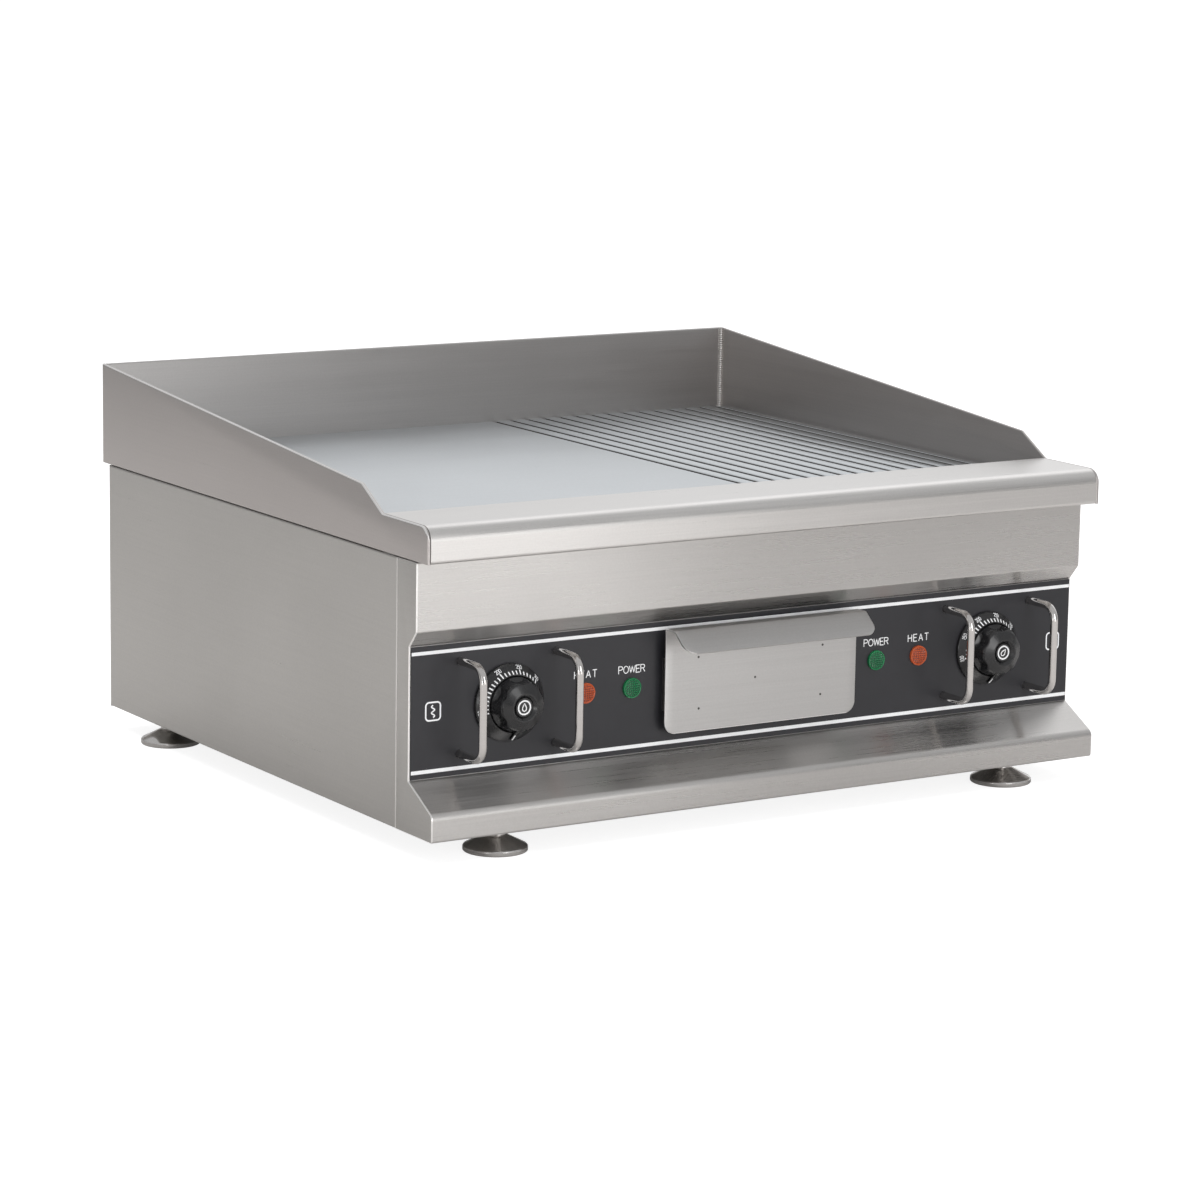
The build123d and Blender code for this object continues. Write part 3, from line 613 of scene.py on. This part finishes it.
def groove_face(polygon):
    """1 for faces that look up from inside a groove, which take the near-black steel as painted shade, 0 for
    the lands and the rest.
    """
    x, _, z = polygon.center / MM
    inside = GROOVED_X[0] < x < GROOVED_X[1] and GROOVED_Z[0] < z < GROOVED_Z[1]
    return 1 if inside and polygon.normal.z > 0.1 else 0


top_line = plate_profile()
bottom_line = [(WALL_INNER, plate_low.z), (-WALL_INNER, plate_low.z)]
rings = []
for back_by, drop in PLATE_EDGE + ((plate_high.y - plate_low.y, 0.0),):
    y = plate_low.y + back_by
    rings.append([(x, y, z - drop) for x, z in top_line] + [(x, y, z) for x, z in bottom_line])
shell = Shell()
shell.add(*loft(rings))
shell.piece("plate_ribbed", [steel_plate, steel_dark_and_groove_shade], "housing", "plate_steel",
            replaced=["griddle_plate"], face_finish=groove_face)

# ------------------------------------------------------------------ front cheeks
# their (y, z) section from the top edge down: fascia, return, panel, bottom slope and lip
skin = filleted([(cheek_high.y, cheek_high.z), (FRONT + 18.5, cheek_high.z), (FRONT + 18.5, 166.0),
                 (PANEL_Y + 0.8, 154.3), (PANEL_Y + 0.8, 56.4), (cheek_low.y, 37.6),
                 (cheek_low.y, cheek_low.z), (cheek_high.y, cheek_low.z)], [1.6, 1.8, 1.0, 1.0, 6.0, 1.8])
cheek_inner = -box_mm("front_cheek_left")[1].x
side_front = box_mm("body_side_left")[0].y
CHEEK_ROUND, FOLD_LAP, FOLD_MARGIN, FOLD_PROUD = 1.15, 0.35, 0.4, 0.12


def rounded_edge(polygon):
    """1 on the rounded outer edge of a cheek, painted bright as a highlight, 0 elsewhere."""
    on_edge = abs(polygon.center.x) > (BODY_HALF - CHEEK_ROUND) * MM and abs(polygon.normal.x) < 0.97
    return 1 if on_edge and polygon.normal.y < 0.2 else 0


for side, label in SIDES:
    shell = Shell()
    shell.add(*rounded_prism(skin, cheek_inner, BODY_HALF, 0.05, CHEEK_ROUND, sideways(side)))
    shell.piece(f"cheek_{label}", [steel_side, steel_painted_highlight], "housing", "front_steel",
                replaced=[f"front_cheek_{label}"], face_finish=rounded_edge)
    # the folded strip between the cheek and the side panel, painted bright all over as a highlight
    near, far = cheek_high.y - FOLD_LAP, side_front + FOLD_LAP
    foot, head = cheek_low.z + FOLD_MARGIN, cheek_high.z - FOLD_MARGIN
    fold = [(near, foot), (far, foot), (far, head), (near, head)]
    shell = Shell()
    shell.add(*rounded_prism(fold, cheek_inner + 0.2, BODY_HALF + FOLD_PROUD, 0.02, FOLD_PROUD,
                             sideways(side)))
    shell.piece(f"fold_{label}", steel_painted_highlight, "housing", "front_steel")


# ------------------------------------------------------------------ printing on the panel and dials
def flat(plane_y):
    """A surface for print: the plane y = plane_y."""
    return lambda x, z: plane_y


STROKE_MITRE_LIMIT = 0.5
PRINT_PROUD, PRINT_SUNK = 0.06, 0.02


def ribbon(points, width, closed=False):
    """Left and right edges of a stroke of that width along the points."""
    count = len(points)
    left, right = [], []
    for i in range(count):
        here = Vector(points[i])
        before = Vector(points[i - 1]) if closed or i > 0 else None
        after = Vector(points[(i + 1) % count]) if closed or i < count - 1 else None
        first = (here - before).normalized() if before is not None else (after - here).normalized()
        second = (after - here).normalized() if after is not None else first
        normal_in, normal_out = Vector((-first.y, first.x)), Vector((-second.y, second.x))
        reach = width / 2 / max(STROKE_MITRE_LIMIT, (1 + normal_in.dot(normal_out)) / 2) / 2
        left.append(here + (normal_in + normal_out) * reach)
        right.append(here - (normal_in + normal_out) * reach)
    return left, right


def add_stroke(shell, points, width, surface, closed=False):
    """A printed stroke: a thin closed strip that follows the surface along the points."""
    left, right = ribbon(points, width, closed)
    rings = []
    for a, b in zip(left, right):
        first, second = surface(a.x, a.y), surface(b.x, b.y)
        rings.append([(a.x, first - PRINT_PROUD, a.y), (b.x, second - PRINT_PROUD, b.y),
                      (b.x, second + PRINT_SUNK, b.y), (a.x, first + PRINT_SUNK, a.y)])
    if closed:
        rings.append(rings[0])
    shell.add(*loft(rings, capped=not closed))


def rounded_box(centre, width, height, radius, steps=5):
    """The outline of a box with round corners about a centre."""
    (x, z), w, h = centre, width / 2 - radius, height / 2 - radius
    return (arc((x + w, z + h), radius, 0, 90, steps) + arc((x - w, z + h), radius, 90, 180, steps)
            + arc((x - w, z - h), radius, 180, 270, steps) + arc((x + w, z - h), radius, 270, 360, steps))


# stroke lettering: each sign's width and its lines, for a height of 1
LETTERS = {
    "P": (0.66, [[(0, 0), (0, 1), (0.40, 1), (0.58, 0.92), (0.64, 0.76), (0.58, 0.60), (0.40, 0.52),
                  (0.07, 0.52)]]),
    "O": (0.76, [[(0.38, 1), (0.14, 0.9), (0, 0.66), (0, 0.34), (0.14, 0.1), (0.38, 0), (0.62, 0.1),
                  (0.76, 0.34), (0.76, 0.66), (0.62, 0.9), (0.38, 1)]]),
    "W": (0.96, [[(0, 1), (0.24, 0), (0.48, 0.95), (0.72, 0), (0.96, 1)]]),
    "E": (0.58, [[(0.58, 1), (0, 1), (0, 0), (0.58, 0)], [(0.07, 0.52), (0.50, 0.52)]]),
    "R": (0.68, [[(0, 0), (0, 1), (0.40, 1), (0.58, 0.92), (0.64, 0.76), (0.58, 0.60), (0.40, 0.52),
                  (0.07, 0.52)],
                 [(0.40, 0.46), (0.66, 0)]]),
    "H": (0.64, [[(0, 0), (0, 1)], [(0.64, 0), (0.64, 1)], [(0.07, 0.52), (0.57, 0.52)]]),
    "A": (0.70, [[(0, 0), (0.35, 1), (0.70, 0)], [(0.18, 0.34), (0.52, 0.34)]]),
    "T": (0.68, [[(0, 1), (0.68, 1)], [(0.34, 0.93), (0.34, 0)]]),
    "0": (0.60, [[(0.3, 1), (0.1, 0.9), (0, 0.66), (0, 0.34), (0.1, 0.1), (0.3, 0), (0.5, 0.1),
                  (0.6, 0.34), (0.6, 0.66), (0.5, 0.9), (0.3, 1)]]),
    "1": (0.34, [[(0.02, 0.8), (0.26, 1), (0.26, 0)]]),
    "2": (0.60, [[(0, 0.78), (0.10, 0.94), (0.30, 1), (0.50, 0.94), (0.58, 0.76), (0.52, 0.58), (0, 0),
                  (0.60, 0)]]),
    "3": (0.60, [[(0, 0.85), (0.14, 0.97), (0.30, 1), (0.50, 0.93), (0.56, 0.77), (0.46, 0.58), (0.25, 0.53),
                  (0.50, 0.46), (0.60, 0.28), (0.50, 0.08), (0.28, 0), (0.12, 0.03), (0, 0.14)]]),
    "5": (0.58, [[(0.54, 1), (0.08, 1), (0.03, 0.56), (0.25, 0.63), (0.46, 0.57), (0.58, 0.33), (0.48, 0.08),
                  (0.26, 0), (0.04, 0.09)]]),
}


SHARP_TURN = -0.1


def unbent(points):
    """The strokes that a line of points makes when it is cut at its sharp turns."""
    parts = [[points[0]]]
    for before, here, after in zip(points, points[1:], points[2:]):
        parts[-1].append(here)
        arriving, leaving = Vector(here) - Vector(before), Vector(after) - Vector(here)
        if arriving.normalized().dot(leaving.normalized()) < SHARP_TURN:
            parts.append([here])
    parts[-1].append(points[-1])
    return parts


def turned_points(points, centre, turn):
    """Points turned clockwise by turn degrees and moved to a centre."""
    cosine, sine = math.cos(math.radians(turn)), math.sin(math.radians(turn))
    return [(centre[0] + u * cosine + v * sine, centre[1] - u * sine + v * cosine) for u, v in points]


def add_text(shell, text, centre, height, width, stroke, surface, turn=0.0):
    """Stroke lettering centred on a point, spread to that width and turned clockwise by turn degrees."""
    glyphs = [LETTERS[letter] for letter in text]
    letters_width = sum(w for w, _ in glyphs) * height
    gap = (width - letters_width - stroke) / (len(glyphs) - 1)
    x = -(width - stroke) / 2
    for glyph_width, strokes in glyphs:
        for points in strokes:
            upright = [(x + u * height, (v - 0.5) * height) for u, v in points]
            for part in unbent(turned_points(upright, centre, turn)):
                add_stroke(shell, part, stroke, surface)
        x += glyph_width * height + gap


LABEL_Z, LABEL_HEIGHT, LABEL_STROKE = 120.5, 5.4, 0.64
LABEL_WIDTHS = {"HEAT": 20.0, "POWER": 23.5}
PANEL_LINES, PANEL_LINE_MARGIN = ((147.4, 149.9), (60.8, 63.5)), 0.3
# the badge at each end of the panel: a wave in a rounded square
BADGE_XS, BADGE_Z = (-278.3, 281.5), 105.8
BADGE_WIDTH, BADGE_HEIGHT, BADGE_RADIUS, BADGE_STROKE = 12.0, 13.2, 2.6, 1.15
WAVE_FOOT, WAVE_HEIGHT, WAVE_SWING, WAVE_STROKE, WAVE_STEPS = 101.4, 8.8, 1.3, 1.0, 32
panel_face = flat(PANEL_Y)
lamp_centres = {name: centre_xz(name) for name in
                ("lamp_heat_left", "lamp_power_left", "lamp_power_right", "lamp_heat_right")}
shell = Shell()
for low_z, high_z in PANEL_LINES:
    z = (low_z + high_z) / 2
    ends = [(panel_low.x + PANEL_LINE_MARGIN, z), (panel_high.x - PANEL_LINE_MARGIN, z)]
    add_stroke(shell, ends, high_z - low_z, panel_face)
for name, (x, z) in lamp_centres.items():
    word = "HEAT" if "heat" in name else "POWER"
    add_text(shell, word, (x, LABEL_Z), LABEL_HEIGHT, LABEL_WIDTHS[word], LABEL_STROKE, panel_face)
for x in BADGE_XS:
    add_stroke(shell, rounded_box((x, BADGE_Z), BADGE_WIDTH, BADGE_HEIGHT, BADGE_RADIUS), BADGE_STROKE,
               panel_face, closed=True)
    wave = [(x + WAVE_SWING * math.sin(4 * math.pi * t / WAVE_STEPS),
             WAVE_FOOT + WAVE_HEIGHT * t / WAVE_STEPS) for t in range(WAVE_STEPS + 1)]
    add_stroke(shell, wave, WAVE_STROKE, panel_face)
shell.piece("panel_print", print_white, "housing", "panel_black")

# ------------------------------------------------------------------ turned shapes about a front-to-back axis
def turned(stations, centre, plane_y, count, shape=None):
    """Rings of points about an axis along Y; a station is (radius, height out from plane_y)."""
    rings = []
    for radius, height in stations:
        ring = []
        for i in range(count):
            angle = 2 * math.pi * i / count
            r, h = shape(radius, height, angle) if shape else (radius, height)
            ring.append((centre[0] + r * math.cos(angle), plane_y - h, centre[1] + r * math.sin(angle)))
        rings.append(ring)
    return loft(rings)


# dials: a disc whose face slopes up to a flat ring, with 21 lines, every fifth longer and numbered
RING_RADIUS, RING_HEIGHT, SLOPE_FOOT, FOOT_HEIGHT = 21.6, 9.4, 28.2, 3.0
BEZEL_OUTLINE = [(6.0, 0.0), (28.7, 0.0), (28.7, 2.4), (SLOPE_FOOT, FOOT_HEIGHT), (RING_RADIUS, RING_HEIGHT),
                 (20.8, RING_HEIGHT), (20.8, 3.0), (6.0, 3.0)]
BEZEL_ROUNDS = [0.1, 0.4, 0.4, 0.35, 0.3, 0.2]
SCALE_START, SCALE_STEP, SCALE_LINES, NUMBERED_EVERY = -102.6, 7.66, 21, 5
LINE_FOOT, SHORT_LINE, LONG_LINE, LINE_WIDTH = 21.9, 24.2, 25.0, 1.0
NUMBERS = (100, 150, 200, 250, 300)
NUMBER_RADIUS, NUMBER_HEIGHT, NUMBER_WIDTH, NUMBER_STROKE = 26.6, 2.2, 4.9, 0.36


def dial_face(cx, cz):
    """The sloping face of the dial round cx, cz, as a surface for print."""
    def surface(x, z):
        share = (SLOPE_FOOT - math.hypot(x - cx, z - cz)) / (SLOPE_FOOT - RING_RADIUS)
        return PANEL_Y - FOOT_HEIGHT - (RING_HEIGHT - FOOT_HEIGHT) * max(0.0, min(1.0, share))
    return surface


for label in ("left", "right"):
    cx, cz = centre_xz(f"dial_bezel_{label}")
    face = dial_face(cx, cz)
    shell = Shell()
    shell.add(*turned(filleted(BEZEL_OUTLINE, BEZEL_ROUNDS, 4), (cx, cz), PANEL_Y, 128))
    shell.piece(f"dial_disc_{label}", knob_black, "housing", "bezel_black", replaced=[f"dial_bezel_{label}"])
    shell = Shell()
    for line in range(SCALE_LINES):
        angle = math.radians(SCALE_START + SCALE_STEP * line)
        outer = LONG_LINE if line % NUMBERED_EVERY == 0 else SHORT_LINE
        ends = [(cx + r * math.sin(angle), cz + r * math.cos(angle)) for r in (LINE_FOOT, outer)]
        add_stroke(shell, ends, LINE_WIDTH, face)
    for place, number in enumerate(NUMBERS):
        turn = SCALE_START + NUMBERED_EVERY * SCALE_STEP * place
        angle = math.radians(turn)
        middle = (cx + NUMBER_RADIUS * math.sin(angle), cz + NUMBER_RADIUS * math.cos(angle))
        add_text(shell, str(number), middle, NUMBER_HEIGHT, NUMBER_WIDTH, NUMBER_STROKE, face, turn)
    shell.piece(f"dial_print_{label}", print_white, "housing", "bezel_black")


# knobs: six soft scallops, a dished face and a pointer nose
SCALLOPS, SCALLOP_CENTRE, SCALLOP_RADIUS = 6, 25.6, 9.0
SCALLOP_START, SCALLOP_INNER, SCALLOP_SOFT = 10.2, 12.0, 1.2
# a radius beyond the grip, for the angles that no scallop reaches
UNCUT = 99.0
KNOB_OUTLINE = [(0.6, 3.5), (20.2, 3.5), (20.2, 9.4), (17.9, 20.2), (16.8, 21.4), (10.6, 24.35), (9.7, 24.35),
                (7.1, 21.5), (0.6, 21.4)]
KNOB_ROUNDS = [0.3, 1.0, 1.2, 1.0, 0.4, 0.4, 0.3]
# the pointer's outline, (height, distance out from the panel), and the white line along its slope
POINTER_OUTLINE = [(-14.5, 10.3), (-21.4, 10.2), (-27.4, 4.6), (-27.6, 5.4), (-22.0, 11.2), (-15.6, 19.0),
                   (-14.5, 19.0)]
POINTER_ROUNDS, POINTER_HALF, POINTER_EDGE = [0.5, 0.1, 0.25, 1.5, 0.5], 1.7, 0.5
MARK_TIP, MARK_HEAD, MARK_HALF, MARK_PROUD = Vector((-27.2, 5.8)), Vector((-22.9, 10.25)), 0.55, 0.05
# the cap's print: a droplet in a ring, and how far it is turned on each knob
CAP_RING_RADIUS, CAP_RING_STROKE, DROPLET_STROKE = 4.95, 1.15, 0.75
DROPLET = [(0, 3.2), (-0.75, 1.7), (-1.45, 0.4), (-1.7, -0.9), (-1.2, -2.1), (0, -2.7), (1.2, -2.1),
           (1.7, -0.9), (1.45, 0.4), (0.75, 1.7)]
DROPLET_TURNS = (("left", 0.0), ("right", 40.0))


def scalloped(radius, height, angle):
    """The knob's radius where a scallop bites into its grip."""
    if height < SCALLOP_START or radius < SCALLOP_INNER:
        return radius, height
    pitch = 2 * math.pi / SCALLOPS
    offset = (angle - math.pi / 2 + pitch / 2) % pitch - pitch / 2
    reach = SCALLOP_RADIUS ** 2 - (SCALLOP_CENTRE * math.sin(offset)) ** 2
    cut = SCALLOP_CENTRE * math.cos(offset) - math.sqrt(reach) if reach > 0 else UNCUT
    blend = min(1.0, (height - SCALLOP_START) / SCALLOP_SOFT)
    limit = min(radius, cut)
    if abs(radius - cut) < SCALLOP_SOFT:
        limit -= (SCALLOP_SOFT - abs(radius - cut)) ** 2 / (4 * SCALLOP_SOFT)
    return radius + (limit - radius) * blend, height


def densified(stations, longest=0.8):
    """The same outline with its long runs divided."""
    out = [stations[0]]
    for here in stations[1:]:
        run = math.dist(out[-1], here)
        parts = max(1, math.ceil(run / longest))
        start = out[-1]
        out += [(start[0] + (here[0] - start[0]) * i / parts, start[1] + (here[1] - start[1]) * i / parts)
                for i in range(1, parts + 1)]
    return out


for label, droplet_turn in DROPLET_TURNS:
    cx, cz = centre_xz(f"knob_cap_{label}")
    body = f"knob_{label}_body"
    shell = Shell()
    shell.add(*turned(densified(filleted(KNOB_OUTLINE, KNOB_ROUNDS, 3)), (cx, cz), PANEL_Y, 144, scalloped))
    shell.add(*rounded_prism(filleted(POINTER_OUTLINE, POINTER_ROUNDS, 3), -POINTER_HALF, POINTER_HALF,
                             POINTER_EDGE, POINTER_EDGE, lambda u, v, w: (cx + w, PANEL_Y - v, cz + u), 3))
    shell.piece(f"knob_grip_{label}", knob_black, body, "knob_black", replaced=[f"knob_{label}"])
    shell = Shell()
    run = (MARK_HEAD - MARK_TIP).normalized()
    lift = Vector((-run.y, run.x)) * MARK_PROUD
    rings = []
    for point in (MARK_TIP, MARK_HEAD):
        top, low = point + lift, point - lift
        rings.append([(cx + x, PANEL_Y - spot.y, cz + spot.x)
                      for x, spot in ((-MARK_HALF, top), (MARK_HALF, top),
                                      (MARK_HALF, low), (-MARK_HALF, low))])
    shell.add(*loft(rings))
    cap_face = flat(box_mm(f"knob_cap_{label}")[0].y)
    add_stroke(shell, arc((cx, cz), CAP_RING_RADIUS, 0, 354, 59), CAP_RING_STROKE, cap_face, closed=True)
    droplet = turned_points(DROPLET, (cx, cz), droplet_turn)
    add_stroke(shell, droplet, DROPLET_STROKE, cap_face, closed=True)
    shell.piece(f"knob_marks_{label}", print_white, body, "knob_black")

# lamp lenses with a moulded grid of small pyramids and painted shade in the valleys between them
LENS_PITCH, LENS_RELIEF, LENS_VALLEY, LENS_RIM = 1.7, 0.6, 0.28, 6.3
LENS_COLLAR = [(7.7, -0.2), (7.7, 1.2), (7.55, 1.7), (7.1, 2.0), (6.75, 1.95), (6.5, 1.7)]
LENS_RINGS, LENS_CENTRE_RADIUS, DOME_FOOT, DOME_RISE = 36, 0.02, 1.9, 1.6


def lens_outline():
    """The lens from its collar over its dome to its centre, as (radius, height) stations."""
    shares = [1 - i / LENS_RINGS for i in range(LENS_RINGS + 1)]
    return LENS_COLLAR + [(LENS_RIM * share + LENS_CENTRE_RADIUS, DOME_FOOT + DOME_RISE * (1 - share ** 2))
                          for share in shares]


def pyramid(x, z):
    """Height between 0 and 1 of the moulded grid at a distance from the lens centre."""
    return 1.0 - 2 * max(abs(x / LENS_PITCH % 1 - 0.5), abs(z / LENS_PITCH % 1 - 0.5))


def moulded(radius, height, angle):
    """A station of the lens with the moulded grid on its dome."""
    if radius > LENS_RIM:
        return radius, height
    return radius, height + LENS_RELIEF * (pyramid(radius * math.cos(angle), radius * math.sin(angle)) - 0.5)


for name, (cx, cz) in lamp_centres.items():
    def valley(polygon, cx=cx, cz=cz):
        """1 in the valleys between the pyramids, which get the darker painted shade, 0 on them and on the
        collar.
        """
        x, z = polygon.center.x / MM - cx, polygon.center.z / MM - cz
        return 1 if math.hypot(x, z) < LENS_RIM and pyramid(x, z) < LENS_VALLEY else 0
    shell = Shell()
    shell.add(*turned(lens_outline(), (cx, cz), PANEL_Y, 128, moulded))
    finish = [lens_orange, lens_orange_shade] if "heat" in name else [lens_green, lens_green_shade]
    shell.piece(name.replace("lamp", "lens"), finish, "housing", slot_of[name], replaced=[name],
                face_finish=valley, sharp=20)

# ------------------------------------------------------------------ drawer front
drawer_low, drawer_high = box_mm("drawer_front")
DRAWER_SKIN, DRAWER_SHEET = FRONT + 20.0, 1.2
DRAWER_HALF = drawer_high.x
DRAWER_CORNER, HANDLE_CORNER, CORNER_STEPS = 9.0, 10.0, 10
HANDLE_BEND, HANDLE_DROP, HANDLE_MARGIN, DRAWER_BENDS = 8.7, 13.9, 0.8, [1.6, 1.3]
DRAWER_ROW, LEAST_ROW, DRAWER_COLUMNS, DRAWER_EDGE = 3.0, 0.02, 24, 0.35


def drawer_line():
    """The (y, z) outer line of the drawer front, from its bottom edge up to the free edge of the handle."""
    top = drawer_high.z - DRAWER_SHEET
    line = [(DRAWER_SKIN, drawer_low.z), (DRAWER_SKIN, top), (FRONT + HANDLE_BEND, top),
            (drawer_low.y + HANDLE_MARGIN, top - HANDLE_DROP)]
    return densified(filleted(line, DRAWER_BENDS, 8), DRAWER_ROW)


def lengths(points):
    """The distance along a line at each of its points."""
    total = [0.0]
    for a, b in zip(points, points[1:]):
        total.append(total[-1] + math.dist(a, b))
    return total


def row_stops(measured):
    """Distances along the line where the sheet has a row of points: closer together in its round corners."""
    whole = measured[-1]
    eased = [1 - math.cos(math.pi / 2 * step / CORNER_STEPS) for step in range(CORNER_STEPS + 1)]
    rows = measured + [DRAWER_CORNER * share for share in eased]
    rows += [whole - HANDLE_CORNER * share for share in eased]
    rows = sorted(set(round(row, 4) for row in rows))
    return [row for i, row in enumerate(rows) if i == 0 or row - rows[i - 1] > LEAST_ROW]


def along_line(points, distances, wanted):
    """The point at a distance along the line, and the line's direction there."""
    for i in range(len(points) - 1):
        if wanted <= distances[i + 1] + 1e-9:
            share = (wanted - distances[i]) / (distances[i + 1] - distances[i])
            a, b = Vector(points[i]), Vector(points[i + 1])
            return a.lerp(b, share), (b - a).normalized()
    return Vector(points[-1]), (Vector(points[-1]) - Vector(points[-2])).normalized()


def corner_cut(radius, distance):
    """How much narrower a round corner makes each side at a distance from the end of the sheet."""
    if distance >= radius:
        return 0.0
    return radius - math.sqrt(max(0.0, radius ** 2 - (radius - distance) ** 2))


def drawer_sheet():
    """Points and faces of the bent drawer sheet: a front skin, a rear skin and the rim that joins them."""
    line = drawer_line()
    measured = lengths(line)
    stops = row_stops(measured)
    front_points, rear_points = [], []
    for stop in stops:
        point, heading = along_line(line, measured, stop)
        rear = point + Vector((heading.y, -heading.x)) * DRAWER_SHEET
        half = DRAWER_HALF - corner_cut(DRAWER_CORNER, stop) - corner_cut(HANDLE_CORNER, measured[-1] - stop)
        for column in range(DRAWER_COLUMNS + 1):
            x = -half + 2 * half * column / DRAWER_COLUMNS
            front_points.append((x, point.x, point.y))
            rear_points.append((x, rear.x, rear.y))
    row_size, rows, offset = DRAWER_COLUMNS + 1, len(stops), len(front_points)
    faces = []
    for row in range(rows - 1):
        for column in range(DRAWER_COLUMNS):
            a = row * row_size + column
            faces.append((a, a + 1, a + row_size + 1, a + row_size))
            faces.append((offset + a, offset + a + row_size, offset + a + row_size + 1, offset + a + 1))
    rim = list(range(row_size)) + [r * row_size + DRAWER_COLUMNS for r in range(1, rows)]
    rim += [(rows - 1) * row_size + c for c in reversed(range(DRAWER_COLUMNS))]
    rim += [r * row_size for r in reversed(range(1, rows - 1))]
    for a, b in zip(rim, rim[1:] + rim[:1]):
        faces.append((a, b, offset + b, offset + a))
    return front_points + rear_points, faces


points, faces = drawer_sheet()
mesh = bpy.data.meshes.new("drawer_face")
mesh.from_pydata([Vector(p) * MM for p in points], [], faces)
bm = bmesh.new()
bm.from_mesh(mesh)
bmesh.ops.recalc_face_normals(bm, faces=bm.faces)
edges = [e for e in bm.edges if len(e.link_faces) == 2 and e.calc_face_angle() > math.radians(60)]
bmesh.ops.bevel(bm, geom=edges, offset=DRAWER_EDGE * MM, segments=3, profile=0.5, affect="EDGES",
                clamp_overlap=True)
bm.to_mesh(mesh)
bm.free()


def sheared_edge(polygon):
    """1 on the cut edges of the drawer sheet, painted bright as a highlight, 0 on its brushed faces."""
    return 1 if abs(polygon.normal.x) > 0.2 or polygon.center.z < (drawer_low.z + 0.5) * MM else 0


finish_piece("drawer_face", mesh, [steel_drawer, steel_painted_highlight], "drawer", ["drawer_front"],
             sheared_edge)

# the spots where the drawer front is welded to its tray
WELD_SPOTS = ((-6, 106), (-56, 87), (54, 87), (-57, 126), (55, 125))
WELD_OUTLINE = [(1.0, -0.1), (0.95, 0.0), (0.7, 0.04), (0.1, 0.03)]
shell = Shell()
for spot in WELD_SPOTS:
    shell.add(*turned(WELD_OUTLINE, spot, DRAWER_SKIN, 24))
shell.piece("drawer_spot_welds", steel_dark_and_groove_shade, "drawer", "drawer_steel")


# ------------------------------------------------------------------ feet
def turned_upright(stations, centre, count):
    """Rings of points about an upright axis; a station is (radius, height)."""
    return loft([[(centre[0] + r * math.cos(2 * math.pi * i / count),
                   centre[1] + r * math.sin(2 * math.pi * i / count), z) for i in range(count)]
                 for r, z in stations])


FOOT_OUTLINE = [(0.5, 0), (23.2, 0), (23.8, 0.7), (23.8, 3.3), (23.2, 4.1), (8.6, 11.5), (7.75, 12.4),
                (7.75, 17.7), (4.0, 17.7), (4.0, 43.4), (3.4, 44.0), (0.5, 44.0)]
FOOT_ROUNDS = [0.3, 0.3, 0.5, 0.5, 2.5, 1.0, 0.3, 0.2, 0.2, 0.2]
for place in ("front_left", "front_right", "rear_left", "rear_right"):
    low, high = box_mm(f"foot_{place}")
    centre = ((low.x + high.x) / 2, (low.y + high.y) / 2)
    shell = Shell()
    shell.add(*turned_upright(filleted(FOOT_OUTLINE, FOOT_ROUNDS, 4), centre, 96))
    shell.piece(f"levelling_foot_{place}", steel_cast, f"foot_{place}_body", "foot_steel",
                replaced=[f"foot_{place}"])

low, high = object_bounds()
